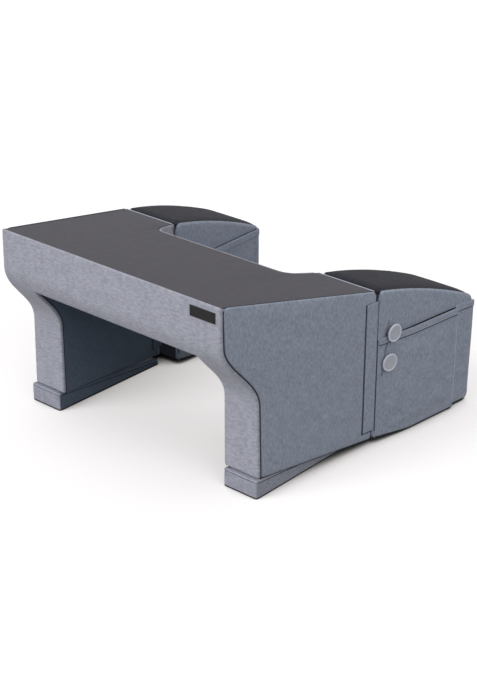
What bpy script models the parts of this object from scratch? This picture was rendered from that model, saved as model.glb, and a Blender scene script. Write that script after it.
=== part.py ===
"""A padded lap desk: a foam desk on two side legs, two pull-off armrests and two riser wedges.

Sizes are in metres. +X runs across the desk, +Y runs towards the person who sits behind it,
+Z is up. The origin is on the floor, in the middle of everything the desk covers.
"""

import math

import bmesh
import bpy
from mathutils import Vector

# Clearance between two pieces that touch
SEAT = 0.0003

# Cloth, leatherette and the stiff board
COVER = 0.003
BOARD = 0.006

# Desk, measured from the front face of its apron
DESK_DEPTH = 0.382
FRONT_HALF_WIDTH = 0.281
SIDE_SPLAY = 0.131
TOP_FRONT_HEIGHT = 0.4025
TOP_FALL = 0.2094
APRON_LOWER_EDGE = 0.2847
APRON_TURN = 0.325
LEG_TURN = 0.185
LEG_SETBACK = 0.0805
LEG_INNER_FRONT = 0.2095
LEG_INNER_SPLAY = 0.0745

# Notch for the body in the back edge of the desk
BELLY_HALF_MOUTH = 0.188
BELLY_DEPTH = 0.069
BELLY_LEAN = 0.27
BELLY_RADIUS = 0.028

# Riser wedges under the legs
RISER_SETBACK = 0.073
RISER_BACK_MARGIN = 0.023
RISER_INNER = 0.2215
RISER_OUTER = 0.3025
RISER_FRONT_HEIGHT = 0.0385
RISER_FALL = 0.0945

# Armrests, measured from their own front face
ARM_GAP = 0.0008
ARM_LENGTH = 0.283
ARM_PROUD = 0.0012
ARM_OUTER_SPLAY = 0.097
ARM_INNER_FRONT = 0.188
ARM_INNER_SPLAY = 0.0477
ARM_TOP_DROP = 0.001
ARM_SLOPE_START = 0.185
ARM_SLOPE_END = 0.444
ARM_END_RADIUS = 0.020
ARM_FRONT_LIFT = 0.009
ARM_LIFT_LENGTH = 0.089

# Pockets sewn to both sides of each armrest
POCKET_CLOTH = 0.0025
POCKET_DEPTH = 0.0085
POCKET_FRONT_MARGIN = 0.002
POCKET_BACK_MARGIN = 0.006
POCKET_FLOOR_MARGIN = 0.008
POCKET_FULL_FROM = 0.115
POCKET_FULL_TO = 0.19
POCKET_SEWN_FROM = 0.232
POCKET_BELLY_HEIGHT = 0.045
OUTER_MOUTH_DROP = 0.0998
INNER_MOUTH_DROP = 0.0988
HEM_HEIGHT = 0.011
HEM_CLOTH = 0.0012

# Round closure buttons and the cord behind them
BUTTON_RADIUS = 0.0185
BUTTON_THICKNESS = 0.0036
BUTTON_RIM = 0.0036
BUTTON_DISH = 0.0008
SHANK_RADIUS = 0.004
SHANK_LENGTH = 0.0036
UPPER_BUTTON_SETBACK = 0.0395
UPPER_BUTTON_RISE = 0.0065
LOWER_BUTTON_SETBACK = 0.0300
LOWER_BUTTON_DROP = 0.0530
CORD_RADIUS = 0.0011
CORD_OFFSET = 0.0115
CORD_LEAN = 0.004
CORD_TAIL = 0.007
CORD_EASE = 0.010

# Hook-and-loop flaps that tie the armrests to the legs
FLAP_WIDTH = 0.0275
FLAP_CLOTH = 0.0018
FLAP_HEM_DROP = 0.019
FLAP_FOOT_RISE = 0.0215
INNER_FLAP_DROP = 0.012
FLAP_AXIS_SETBACK = 0.0012
HOOK_TAPE = 0.0008
HOOK_MARGIN = 0.003

# Bare sewn label on the apron
LABEL_WIDTH = 0.0585
LABEL_HEIGHT = 0.0205
LABEL_CLOTH = 0.0008
LABEL_SIDE_MARGIN = 0.011
LABEL_TOP_MARGIN = 0.0115

# Levels that the sizes above fix
OVERALL_DEPTH = LABEL_CLOTH + SEAT + DESK_DEPTH + ARM_GAP + ARM_LENGTH
FRONT = -OVERALL_DEPTH / 2 + LABEL_CLOTH + SEAT
BACK = FRONT + DESK_DEPTH
ARM_FRONT = BACK + ARM_GAP
ARM_BACK = ARM_FRONT + ARM_LENGTH
RISER_FRONT = FRONT + RISER_SETBACK
RISER_BACK = BACK - RISER_BACK_MARGIN
INSET = COVER + SEAT

# How finely curves are divided
CURVE_STEPS = 12
ARC_STEPS = 5
ROUND_STEPS = 28
POCKET_COLUMNS = 14
POCKET_ROWS = 6
CORD_STEPS = 8

SIDES = (("left", -1), ("right", 1))

LINEN = (0.30, 0.31, 0.37)
SIDE_LINEN = (0.24, 0.27, 0.34)
BUTTON_LINEN = (0.38, 0.40, 0.46)
LEATHERETTE = (0.032, 0.032, 0.038)
FOAM = (0.82, 0.80, 0.72)
PLYWOOD = (0.55, 0.40, 0.24)
ANTISLIP = (0.05, 0.05, 0.055)
TAPE = (0.10, 0.11, 0.13)
CORD = (0.48, 0.50, 0.56)


def clear_scene():
    for leftover in list(bpy.data.objects):
        bpy.data.objects.remove(leftover, do_unlink=True)


# Faces of the object as functions of the depth y

def side_x(y):
    """Outer side of the desk, half the width at y."""
    return FRONT_HALF_WIDTH + SIDE_SPLAY * (y - FRONT)


def leg_inner_x(y):
    """Inner face of a leg."""
    return LEG_INNER_FRONT + LEG_INNER_SPLAY * (y - FRONT)


def arm_outer_x(y):
    """Outer side of an armrest, which starts just proud of the desk's side."""
    return side_x(BACK) + ARM_PROUD + ARM_OUTER_SPLAY * (y - ARM_FRONT)


def arm_inner_x(y):
    return ARM_INNER_FRONT + ARM_INNER_SPLAY * (y - ARM_FRONT)


def top_z(y):
    """The desk top falls towards the person."""
    return TOP_FRONT_HEIGHT - TOP_FALL * (y - FRONT)


def under_z(y):
    """Underside of the desk, parallel to the feet of the legs."""
    return APRON_LOWER_EDGE - RISER_FALL * (y - FRONT)


def floor_z(y):
    return 0.0


def riser_inner_x(y):
    """The wedges lie square to the front, whatever the splay of the legs."""
    return RISER_INNER


def riser_outer_x(y):
    return RISER_OUTER


def riser_z(y):
    return RISER_FRONT_HEIGHT - RISER_FALL * (y - RISER_FRONT)


def foot_z(y):
    """Sole of a leg, which rests on its riser wedge."""
    return riser_z(y) + SEAT


def outer_mouth_z():
    """Upper edge of the outer pocket, measured down from the desk top's level."""
    return top_z(ARM_FRONT) - OUTER_MOUTH_DROP


def inner_mouth_z():
    return top_z(ARM_FRONT) - INNER_MOUTH_DROP


def arm_bottom_z(y):
    """The base lifts off the floor towards the desk."""
    lift = 1 - (y - ARM_FRONT) / ARM_LIFT_LENGTH
    return ARM_FRONT_LIFT * max(lift, 0.0)


def shifted(face, by):
    """The same face moved by a constant distance."""
    return lambda y: face(y) + by


def mirrored(face):
    return lambda y: -face(y)


# Outlines

def front_path(inset):
    """Front of the desk from the top down: apron, half-cosine turn, front of the leg."""
    top = (FRONT + inset, top_z(FRONT + inset) - INSET)
    path = [top]
    for step in range(CURVE_STEPS + 1):
        part = step / CURVE_STEPS
        y = FRONT + LEG_SETBACK * (1 - math.cos(math.pi * part)) / 2
        z = APRON_TURN + (LEG_TURN - APRON_TURN) * part
        run = LEG_SETBACK * math.pi / 2 * math.sin(math.pi * part)
        drop = APRON_TURN - LEG_TURN
        length = math.hypot(run, drop)
        path.append((y + inset * drop / length, z + inset * run / length))
    y_foot = FRONT + LEG_SETBACK + inset
    path.append((y_foot, foot_z(y_foot) + INSET))
    return path


def desk_profile(inset, top_inset):
    """Side view of the whole desk, drawn in from its faces."""
    front = front_path(inset)
    y_front = front[0][0]
    y_foot = front[-1][0]
    y_back = BACK - inset
    front[0] = (y_front, top_z(y_front) - top_inset)
    front[-1] = (y_foot, foot_z(y_foot) + inset)
    return front + [(y_back, foot_z(y_back) + inset), (y_back, top_z(y_back) - top_inset)]


def leg_profile():
    """Side view of the part of a leg below the underside of the desk."""
    ceiling = shifted(under_z, -SEAT)
    path = front_path(0.0)
    outline = []
    for upper, lower in zip(path, path[1:]):
        gap_upper = upper[1] - ceiling(upper[0])
        gap_lower = lower[1] - ceiling(lower[0])
        if gap_upper > 0 > gap_lower:
            part = gap_upper / (gap_upper - gap_lower)
            outline.append(tuple(a + (b - a) * part for a, b in zip(upper, lower)))
        if gap_lower <= 0:
            outline.append(lower)
    outline[-1] = (outline[-1][0], foot_z(outline[-1][0]))
    return outline + [(BACK, foot_z(BACK)), (BACK, ceiling(BACK))]


def fillet(before, corner, after, radius):
    """Arc of the given radius that rounds a corner between two straight lines."""
    corner = Vector(corner)
    back = (Vector(before) - corner).normalized()
    ahead = (Vector(after) - corner).normalized()
    half = back.angle(ahead) / 2
    middle = corner + (back + ahead).normalized() * radius / math.sin(half)
    start = (corner + back * radius / math.tan(half) - middle).normalized()
    end = (corner + ahead * radius / math.tan(half) - middle).normalized()
    points = []
    for step in range(ARC_STEPS + 1):
        part = step / ARC_STEPS
        arm = start.slerp(end, part) * radius
        points.append(tuple(middle + arm))
    return points


def belly_path(inset, y_mouth):
    """Edge of the notch for the body, from its right mouth to its left one."""
    slant = math.hypot(1, BELLY_LEAN)

    def wall_x(y):
        return BELLY_HALF_MOUTH + BELLY_LEAN * (y - BACK) + inset * slant

    y_deep = BACK - BELLY_DEPTH - inset
    mouth = (wall_x(y_mouth), y_mouth)
    corner = (wall_x(y_deep), y_deep)
    right = [mouth] + fillet(mouth, corner, (0.0, y_deep), BELLY_RADIUS + inset)
    return right + [(-x, y) for x, y in reversed(right)]


def plan_outline(edge_x, y_front, y_back, belly_inset):
    """Plan of a slab: two splayed sides and the notch in its back edge."""
    outline = [(-edge_x(y_back), y_back), (-edge_x(y_front), y_front)]
    outline += [(edge_x(y_front), y_front), (edge_x(y_back), y_back)]
    return outline + belly_path(belly_inset, y_back)


def arm_top_path(inset, y_front):
    """Top of an armrest: a steepening fall that rolls over into the back face."""
    lean = math.atan(ARM_SLOPE_END)
    y_tangent = ARM_BACK - ARM_END_RADIUS * (1 - math.sin(lean))
    run = y_tangent - ARM_FRONT
    bend = (ARM_SLOPE_END - ARM_SLOPE_START) / run
    start = top_z(ARM_FRONT) - ARM_TOP_DROP

    def height(y):
        s = y - ARM_FRONT
        slope = ARM_SLOPE_START + bend * s
        return start - ARM_SLOPE_START * s - bend * s * s / 2 - inset * math.hypot(1, slope)

    y_last = y_tangent - inset * math.sin(lean)
    path = []
    for step in range(CURVE_STEPS):
        y = y_front + (y_last - y_front) * step / CURVE_STEPS
        path.append((y, height(y)))
    centre_y = ARM_BACK - ARM_END_RADIUS
    centre_z = height(y_last) - (ARM_END_RADIUS - inset) * math.cos(lean)
    for step in range(ARC_STEPS + 1):
        turn = math.pi / 2 - lean - (math.pi / 2 - lean) * step / ARC_STEPS
        reach = ARM_END_RADIUS - inset
        path.append((centre_y + reach * math.cos(turn), centre_z + reach * math.sin(turn)))
    return path


def arm_bottom_path(inset, y_front, y_back):
    """Base of an armrest from back to front, flat on the floor and then lifting."""
    y_bend = ARM_FRONT + ARM_LIFT_LENGTH
    return [(y, arm_bottom_z(y) + inset) for y in (y_back, y_bend, y_front)]


def arm_profile(inset):
    top = arm_top_path(inset, ARM_FRONT + inset)
    return top + arm_bottom_path(inset, ARM_FRONT + inset, ARM_BACK - inset)


# Solids

def finish(name, colour, roughness):
    material = bpy.data.materials.new(name + "_finish")
    material.use_nodes = True
    shader = material.node_tree.nodes["Principled BSDF"]
    shader.inputs["Base Color"].default_value = (*colour, 1.0)
    shader.inputs["Roughness"].default_value = roughness
    shader.inputs["Metallic"].default_value = 0.0
    material.diffuse_color = (*colour, 1.0)
    return material


def place(name, mesh, material, carrier=None):
    """Make one object from a mesh built in world space, carried by an empty."""
    bmesh.ops.recalc_face_normals(mesh, faces=mesh.faces)
    if carrier is not None:
        bmesh.ops.translate(mesh, verts=mesh.verts, vec=-carrier_point(carrier))
    data = bpy.data.meshes.new(name)
    mesh.to_mesh(data)
    mesh.free()
    if material is not None:
        data.materials.append(material)
    item = bpy.data.objects.new(name, data)
    bpy.context.scene.collection.objects.link(item)
    item.parent = carrier
    return item


def carrier_point(carrier):
    """World position of an empty that may hang on another empty."""
    point = Vector(carrier.location)
    while carrier.parent is not None:
        carrier = carrier.parent
        point += carrier.location
    return point


def add_carrier(name, point, parent=None):
    """Empty on a joint's axis, which carries the pieces that move together."""
    empty = bpy.data.objects.new(name, None)
    empty.empty_display_size = 0.03
    bpy.context.scene.collection.objects.link(empty)
    empty.location = Vector(point)
    if parent is not None:
        empty.location -= carrier_point(parent)
        empty.parent = parent
    return empty


def loft(sections):
    """Closed solid through rings of world points that have the same count."""
    mesh = bmesh.new()
    rings = [[mesh.verts.new(point) for point in section] for section in sections]
    for ring, following in zip(rings, rings[1:]):
        for index in range(len(ring)):
            after = (index + 1) % len(ring)
            mesh.faces.new((ring[index], ring[after], following[after], following[index]))
    mesh.faces.new(rings[0])
    mesh.faces.new(rings[-1])
    return mesh


def side_solid(profile, near_x, far_x, side):
    """Side view (y, z) stretched between two upright faces x(y) of one side."""
    near = [(side * near_x(y), y, z) for y, z in profile]
    far = [(side * far_x(y), y, z) for y, z in profile]
    return loft([near, far])


def slab(outline, low_z, high_z):
    """Plan (x, y) stretched between two sloping planes z(y)."""
    low = [(x, y, low_z(y)) for x, y in outline]
    high = [(x, y, high_z(y)) for x, y in outline]
    return loft([low, high])


def sheet(columns, rows, inner_point, outer_point):
    """Cloth between an inner and an outer surface, on a grid of columns and rows."""
    mesh = bmesh.new()
    inner = [[mesh.verts.new(inner_point(c, r)) for r in range(rows + 1)] for c in range(columns + 1)]
    outer = [[mesh.verts.new(outer_point(c, r)) for r in range(rows + 1)] for c in range(columns + 1)]
    for grid in (inner, outer):
        for c in range(columns):
            for r in range(rows):
                mesh.faces.new((grid[c][r], grid[c + 1][r], grid[c + 1][r + 1], grid[c][r + 1]))
    for c in range(columns):
        for r in (0, rows):
            mesh.faces.new((inner[c][r], inner[c + 1][r], outer[c + 1][r], outer[c][r]))
    for r in range(rows):
        for c in (0, columns):
            mesh.faces.new((inner[c][r], inner[c][r + 1], outer[c][r + 1], outer[c][r]))
    return mesh


def turned(profile, centre, axis):
    """Solid of revolution from (radius, height) points that start and end on the axis."""
    mesh = bmesh.new()
    axis = Vector(axis).normalized()
    across = axis.cross(Vector((0, 0, 1))).normalized()
    up = across.cross(axis)
    rings = []
    for radius, height in profile[1:-1]:
        ring = []
        for step in range(ROUND_STEPS):
            angle = 2 * math.pi * step / ROUND_STEPS
            arm = across * math.cos(angle) + up * math.sin(angle)
            ring.append(mesh.verts.new(Vector(centre) + arm * radius + axis * height))
        rings.append(ring)
    for ring, following in zip(rings, rings[1:]):
        for index in range(ROUND_STEPS):
            after = (index + 1) % ROUND_STEPS
            mesh.faces.new((ring[index], ring[after], following[after], following[index]))
    for ring, end in ((rings[0], profile[0]), (rings[-1], profile[-1])):
        tip = mesh.verts.new(Vector(centre) + axis * end[1])
        for index in range(ROUND_STEPS):
            mesh.faces.new((ring[index], ring[(index + 1) % ROUND_STEPS], tip))
    return mesh


def add_cutter(name, mesh):
    cutter = place(name, mesh, None)
    cutter.hide_render = True
    cutter.display_type = "WIRE"
    return cutter


def cut(item, cutter):
    """Take the cutter's shape out of a piece."""
    modifier = item.modifiers.new("cut_" + cutter.name, "BOOLEAN")
    modifier.operation = "DIFFERENCE"
    modifier.solver = "EXACT"
    modifier.object = cutter


# Desk

def make_cutters():
    """Open space between the legs, and the notch for the body."""
    beyond = 0.05
    half = shifted(leg_inner_x, INSET)
    near, far = FRONT - beyond, BACK + beyond
    plan = [(-half(near), near), (half(near), near), (half(far), far), (-half(far), far)]
    low = shifted(floor_z, -beyond)
    tunnel = slab(plan, low, shifted(under_z, INSET))
    belly = slab(belly_path(INSET, far), low, shifted(top_z, beyond))
    return add_cutter("leg_space_cutter", tunnel), add_cutter("belly_cutter", belly)


def make_desk_core(tunnel, belly):
    """One foam block: the slab and both legs."""
    top_inset = INSET + BOARD + SEAT
    profile = desk_profile(INSET, top_inset)
    within = shifted(side_x, -INSET)
    mesh = side_solid(profile, mirrored(within), within, 1)
    core = place("desk_foam_core", mesh, finish("desk_foam_core", FOAM, 0.95))
    cut(core, tunnel)
    cut(core, belly)


def make_desk_top():
    """Stiff board in the top, and the leatherette over it."""
    within = shifted(side_x, -INSET)
    board_plan = plan_outline(within, FRONT + INSET, BACK - INSET, INSET)
    board = slab(board_plan, shifted(top_z, -INSET - BOARD), shifted(top_z, -INSET))
    place("desk_top_board", board, finish("desk_top_board", PLYWOOD, 0.6))
    skin = slab(plan_outline(within, FRONT, BACK, 0.0), shifted(top_z, -COVER), top_z)
    place("desk_top_skin", skin, finish("desk_top_skin", LEATHERETTE, 0.5))


def make_front_cover(tunnel):
    """One cloth strip over the apron, the turn and both leg fronts."""
    outer = front_path(0.0)
    inner = front_path(COVER)
    profile = outer + inner[::-1]
    within = shifted(side_x, -INSET)
    mesh = side_solid(profile, mirrored(within), within, 1)
    cover = place("front_cover_panel", mesh, finish("front_cover_panel", LINEN, 0.9))
    cut(cover, tunnel)


def make_side_covers():
    """Cloth on the outer sides and on the inner faces of the legs."""
    for label, side in SIDES:
        name = label + "_side_panel"
        mesh = side_solid(desk_profile(0.0, 0.0), shifted(side_x, -COVER), side_x, side)
        place(name, mesh, finish(name, SIDE_LINEN, 0.9))
        name = label + "_inner_leg_panel"
        mesh = side_solid(leg_profile(), leg_inner_x, shifted(leg_inner_x, COVER), side)
        place(name, mesh, finish(name, SIDE_LINEN, 0.9))


def underside_front():
    """Depth at which the apron's lower edge meets the underside."""
    return leg_profile()[0][0]


def make_under_covers():
    """Cloth under the slab, and the soles of the legs."""
    plan = plan_outline(shifted(leg_inner_x, COVER), underside_front(), BACK, 0.0)
    panel = slab(plan, under_z, shifted(under_z, COVER))
    place("underside_panel", panel, finish("underside_panel", SIDE_LINEN, 0.92))
    y_foot = FRONT + LEG_SETBACK
    for label, side in SIDES:
        profile = [(y_foot, foot_z(y_foot)), (BACK, foot_z(BACK))]
        profile += [(y, z + COVER) for y, z in reversed(profile)]
        name = label + "_leg_sole"
        mesh = side_solid(profile, shifted(leg_inner_x, INSET), shifted(side_x, -INSET), side)
        place(name, mesh, finish(name, ANTISLIP, 0.85))


def make_back_covers():
    """Cloth on the back of each leg and slab end, and round the notch."""
    belly_wall = belly_path(INSET, BACK)[0][0]
    for label, side in SIDES:
        sections = []
        for y in (BACK - COVER, BACK):
            outer = side_x(y) - INSET
            inner = leg_inner_x(y) + INSET
            foot = foot_z(y) + INSET
            ceiling = under_z(y) + INSET
            top = top_z(y) - INSET
            ring = [(outer, foot), (outer, top), (belly_wall, top)]
            ring += [(belly_wall, ceiling), (inner, ceiling), (inner, foot)]
            sections.append([(side * x, y, z) for x, z in ring])
        name = label + "_back_panel"
        place(name, loft(sections), finish(name, SIDE_LINEN, 0.9))
    outline = belly_path(0.0, BACK) + belly_path(COVER, BACK)[::-1]
    wall = slab(outline, shifted(under_z, INSET), shifted(top_z, -INSET))
    place("belly_notch_panel", wall, finish("belly_notch_panel", LINEN, 0.9))


def make_label():
    """Bare label sewn near the right end of the apron."""
    right = FRONT_HALF_WIDTH - LABEL_SIDE_MARGIN
    left = right - LABEL_WIDTH
    top = TOP_FRONT_HEIGHT - LABEL_TOP_MARGIN
    bottom = top - LABEL_HEIGHT
    outline = [(left, bottom), (right, bottom), (right, top), (left, top)]
    depths = (FRONT - SEAT - LABEL_CLOTH, FRONT - SEAT)
    mesh = loft([[(x, y, z) for x, z in outline] for y in depths])
    place("apron_label", mesh, finish("apron_label", TAPE, 0.7))


# Riser wedges

def make_risers():
    """A foam wedge under each leg, in a cloth cover with a sole that grips the floor."""
    for label, side in SIDES:
        middle = side * (RISER_INNER + RISER_OUTER) / 2
        carrier = add_carrier(label + "_riser_slide", (middle, RISER_FRONT, 0.0))
        outer = riser_profile(0.0, 0.0)
        hollow = riser_profile(COVER, -COVER)
        name = label + "_riser_cover"
        mesh = side_solid(outer, riser_inner_x, riser_outer_x, side)
        cover = place(name, mesh, finish(name, LINEN, 0.9), carrier)
        near = shifted(riser_inner_x, COVER)
        far = shifted(riser_outer_x, -COVER)
        cutter = add_cutter(label + "_riser_cutter", side_solid(hollow, near, far, side))
        cut(cover, cutter)
        near = shifted(riser_inner_x, INSET)
        far = shifted(riser_outer_x, -INSET)
        name = label + "_riser_foam"
        core = side_solid(riser_profile(INSET, INSET), near, far, side)
        place(name, core, finish(name, FOAM, 0.95), carrier)
        name = label + "_riser_sole"
        y_near = RISER_FRONT + INSET
        y_far = RISER_BACK - INSET
        profile = [(y_near, 0.0), (y_far, 0.0), (y_far, COVER), (y_near, COVER)]
        place(name, side_solid(profile, near, far, side), finish(name, ANTISLIP, 0.85), carrier)


def riser_profile(inset, floor):
    """Side view of a riser wedge, drawn in from its faces, with its floor at a height."""
    y_near = RISER_FRONT + inset
    y_far = RISER_BACK - inset
    return [(y_near, floor), (y_far, floor), (y_far, riser_z(y_far) - inset),
            (y_near, riser_z(y_near) - inset)]


# Armrests

def make_armrest(label, side):
    """Foam block in a cover of six panels, with a pocket on each side."""
    middle = side * (arm_inner_x(ARM_FRONT) + arm_outer_x(ARM_FRONT)) / 2
    carrier = add_carrier(label + "_armrest_slide", (middle, ARM_FRONT, 0.0))
    prefix = label + "_armrest_"
    within_inner = shifted(arm_inner_x, INSET)
    within_outer = shifted(arm_outer_x, -INSET)

    def strip(name, profile, colour, roughness):
        mesh = side_solid(profile, within_inner, within_outer, side)
        place(prefix + name, mesh, finish(prefix + name, colour, roughness), carrier)

    strip("foam_core", arm_profile(INSET), FOAM, 0.95)
    skin = arm_top_path(0.0, ARM_FRONT) + arm_top_path(COVER, ARM_FRONT)[::-1]
    strip("top_skin", skin, LEATHERETTE, 0.5)
    base = arm_bottom_path(0.0, ARM_FRONT, ARM_BACK)
    base += arm_bottom_path(COVER, ARM_FRONT, ARM_BACK)[::-1]
    strip("base_panel", base, ANTISLIP, 0.85)
    strip("front_panel", arm_front_profile(), LINEN, 0.9)
    z_roll = arm_top_path(0.0, ARM_FRONT)[-1][1]
    y_in = ARM_BACK - COVER
    back = [(ARM_BACK, z_roll - SEAT), (y_in, z_roll - SEAT), (y_in, INSET), (ARM_BACK, INSET)]
    strip("back_panel", back, SIDE_LINEN, 0.9)

    mesh = side_solid(arm_profile(0.0), shifted(arm_outer_x, -COVER), arm_outer_x, side)
    name = prefix + "outer_panel"
    place(name, mesh, finish(name, SIDE_LINEN, 0.9), carrier)
    mesh = side_solid(arm_profile(0.0), arm_inner_x, shifted(arm_inner_x, COVER), side)
    name = prefix + "inner_panel"
    place(name, mesh, finish(name, SIDE_LINEN, 0.9), carrier)

    make_pocket(prefix + "outer_pocket", arm_outer_x, side, 1, outer_mouth_z(), carrier)
    make_pocket(prefix + "inner_pocket", arm_inner_x, side, -1, inner_mouth_z(), carrier)
    make_closure(prefix, side, carrier)
    return carrier


def arm_front_profile():
    """Upright strip at the front, between the skin and the base."""
    profile = []
    for y in (ARM_FRONT, ARM_FRONT + COVER):
        profile.append((y, arm_bottom_z(y) + INSET))
    for y in (ARM_FRONT + COVER, ARM_FRONT):
        profile.append((y, arm_top_path(INSET, y)[0][1]))
    return profile


# Pockets

def smooth(part):
    part = min(max(part, 0.0), 1.0)
    return part * part * (3 - 2 * part)


def pocket_gape(y, z):
    """How far the pocket cloth stands off the armrest's side."""
    s = y - ARM_FRONT
    rise = smooth(s / POCKET_FULL_FROM)
    fall = 1 - smooth((s - POCKET_FULL_TO) / (POCKET_SEWN_FROM - POCKET_FULL_TO))
    foot = z - arm_bottom_z(y) - POCKET_FLOOR_MARGIN
    return POCKET_DEPTH * min(rise, fall) * smooth(foot / POCKET_BELLY_HEIGHT)


def pocket_column_y(column):
    start = ARM_FRONT + POCKET_FRONT_MARGIN
    end = ARM_BACK - POCKET_BACK_MARGIN
    return start + (end - start) * column / POCKET_COLUMNS


def pocket_row_z(row, y, mouth):
    """Heights of the rows: close together in the rounded foot, then up to the mouth."""
    foot = arm_bottom_z(y) + POCKET_FLOOR_MARGIN
    knee = foot + POCKET_BELLY_HEIGHT
    knee_row = POCKET_ROWS - 2
    if row <= knee_row:
        return foot + (knee - foot) * row / knee_row
    hem_foot = mouth - HEM_HEIGHT
    return hem_foot if row == POCKET_ROWS - 1 else mouth


def make_pocket(name, wall_x, side, outward, mouth, carrier):
    """Slack cloth sewn to an armrest's side along its foot and both ends, and its hem."""

    def cloth(stand_off, first_row):
        def point(column, row):
            y = pocket_column_y(column)
            z = pocket_row_z(row + first_row, y, mouth)
            x = wall_x(y) + outward * (SEAT + pocket_gape(y, z) + stand_off)
            return side * x, y, z
        return point

    panel = sheet(POCKET_COLUMNS, POCKET_ROWS, cloth(0.0, 0), cloth(POCKET_CLOTH, 0))
    place(name, panel, finish(name, SIDE_LINEN, 0.9), carrier)
    hem_row = POCKET_ROWS - 1
    face = POCKET_CLOTH + SEAT
    hem = sheet(POCKET_COLUMNS, 1, cloth(face, hem_row), cloth(face + HEM_CLOTH, hem_row))
    place(name + "_hem", hem, finish(name + "_hem", SIDE_LINEN, 0.9), carrier)


# Closure of the outer pocket

def pocket_face_x(y, z):
    """Outer face of the outer pocket's cloth."""
    return arm_outer_x(y) + SEAT + pocket_gape(y, z) + POCKET_CLOTH


def hem_face_x(y):
    """Outer face of the outer pocket's hem."""
    return pocket_face_x(y, outer_mouth_z()) + SEAT + HEM_CLOTH


def button_profile(shank_length):
    """Cloth-covered button with a raised rim on a shank, as (radius, height)."""
    back = shank_length
    front = back + BUTTON_THICKNESS
    third = BUTTON_RIM / 3
    well = BUTTON_RADIUS - BUTTON_RIM
    return [
        (0.0, 0.0),
        (SHANK_RADIUS, 0.0),
        (SHANK_RADIUS, back),
        (BUTTON_RADIUS - third, back),
        (BUTTON_RADIUS, back + third),
        (BUTTON_RADIUS, front - third),
        (BUTTON_RADIUS - third, front),
        (BUTTON_RADIUS - 2 * third, front),
        (well, front - BUTTON_DISH),
        (0.0, front - BUTTON_DISH / 2),
    ]


def make_button(name, face_x, y, z, shank_length, side, carrier):
    """One button whose shank stands square on a face x(y)."""
    step = SHANK_RADIUS
    lean = (face_x(y + step) - face_x(y - step)) / (2 * step)
    normal = Vector((1.0, -lean, 0.0)).normalized()
    seat = Vector((face_x(y), y, z)) + normal * SEAT
    centre = (side * seat.x, seat.y, seat.z)
    mesh = turned(button_profile(shank_length), centre, (side * normal.x, normal.y, 0.0))
    button = place(name, mesh, finish(name, BUTTON_LINEN, 0.85), carrier)
    button.data.shade_smooth()
    button.data.set_sharp_from_angle(angle=math.radians(40))


def make_closure(prefix, side, carrier):
    """A button above the pocket's mouth, one on the pocket, and a cord behind them."""
    y_upper = ARM_FRONT + UPPER_BUTTON_SETBACK
    z_upper = outer_mouth_z() + UPPER_BUTTON_RISE
    far_edge = y_upper + BUTTON_RADIUS
    reach = hem_face_x(far_edge) - arm_outer_x(far_edge)
    make_button(prefix + "upper_button", arm_outer_x, y_upper, z_upper, reach, side, carrier)
    y_lower = ARM_FRONT + LOWER_BUTTON_SETBACK
    z_lower = outer_mouth_z() - LOWER_BUTTON_DROP

    def on_pocket(y):
        return pocket_face_x(y, z_lower)

    name = prefix + "lower_button"
    make_button(name, on_pocket, y_lower, z_lower, SHANK_LENGTH, side, carrier)
    make_cord(prefix + "closure_cord", (y_upper, z_upper), (y_lower, z_lower), side, carrier)


def cord_x(y, z):
    """Centre line of the cord over the armrest's side, the hem and the pocket."""
    hem = hem_face_x(y)
    above = smooth((z - outer_mouth_z()) / CORD_EASE)
    below = smooth((outer_mouth_z() - HEM_HEIGHT - z) / CORD_EASE)
    face = hem + (arm_outer_x(y) - hem) * above + (pocket_face_x(y, z) - hem) * below
    return face + 2 * SEAT + CORD_RADIUS


def make_cord(name, upper, lower, side, carrier):
    """Thin cord from above the mouth, behind both buttons, to a short free tail."""
    end = BUTTON_RADIUS + CORD_TAIL
    route = (
        (upper[0] - CORD_OFFSET + CORD_LEAN, upper[1] + end),
        (upper[0] - CORD_OFFSET, upper[1]),
        (lower[0] - CORD_OFFSET + CORD_LEAN / 2, lower[1] + BUTTON_RADIUS),
        (lower[0] - CORD_OFFSET, lower[1]),
        (lower[0] - CORD_OFFSET - CORD_LEAN, lower[1] - end),
    )
    places = []
    for first, last in zip(route, route[1:]):
        for step in range(CORD_STEPS):
            part = step / CORD_STEPS
            y = first[0] + (last[0] - first[0]) * smooth(part)
            z = first[1] + (last[1] - first[1]) * part
            places.append((y, z))
    places.append(route[-1])
    curve = bpy.data.curves.new(name, "CURVE")
    curve.dimensions = "3D"
    curve.bevel_depth = CORD_RADIUS
    curve.bevel_resolution = 2
    curve.use_fill_caps = True
    spline = curve.splines.new("POLY")
    spline.points.add(len(places) - 1)
    origin = carrier_point(carrier)
    for target, (y, z) in zip(spline.points, places):
        target.co = (*(Vector((side * cord_x(y, z), y, z)) - origin), 1.0)
    curve.materials.append(finish(name, CORD, 0.8))
    item = bpy.data.objects.new(name, curve)
    bpy.context.scene.collection.objects.link(item)
    item.parent = carrier


# Flaps that tie an armrest to its leg

def flap_axis_y():
    return ARM_FRONT - FLAP_AXIS_SETBACK


def outer_flap_face(y):
    """Face of the outer flap that lies on the tape, parallel to the desk's side."""
    return side_x(y) + SEAT + HOOK_TAPE + SEAT


def inner_flap_face(y):
    """Face of the inner flap, parallel to the way the armrest slides off."""
    y_tape = BACK - HOOK_MARGIN
    on_tape = leg_inner_x(y_tape) - SEAT - HOOK_TAPE - SEAT
    return on_tape + SIDE_SPLAY * (y - y_tape)


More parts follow.
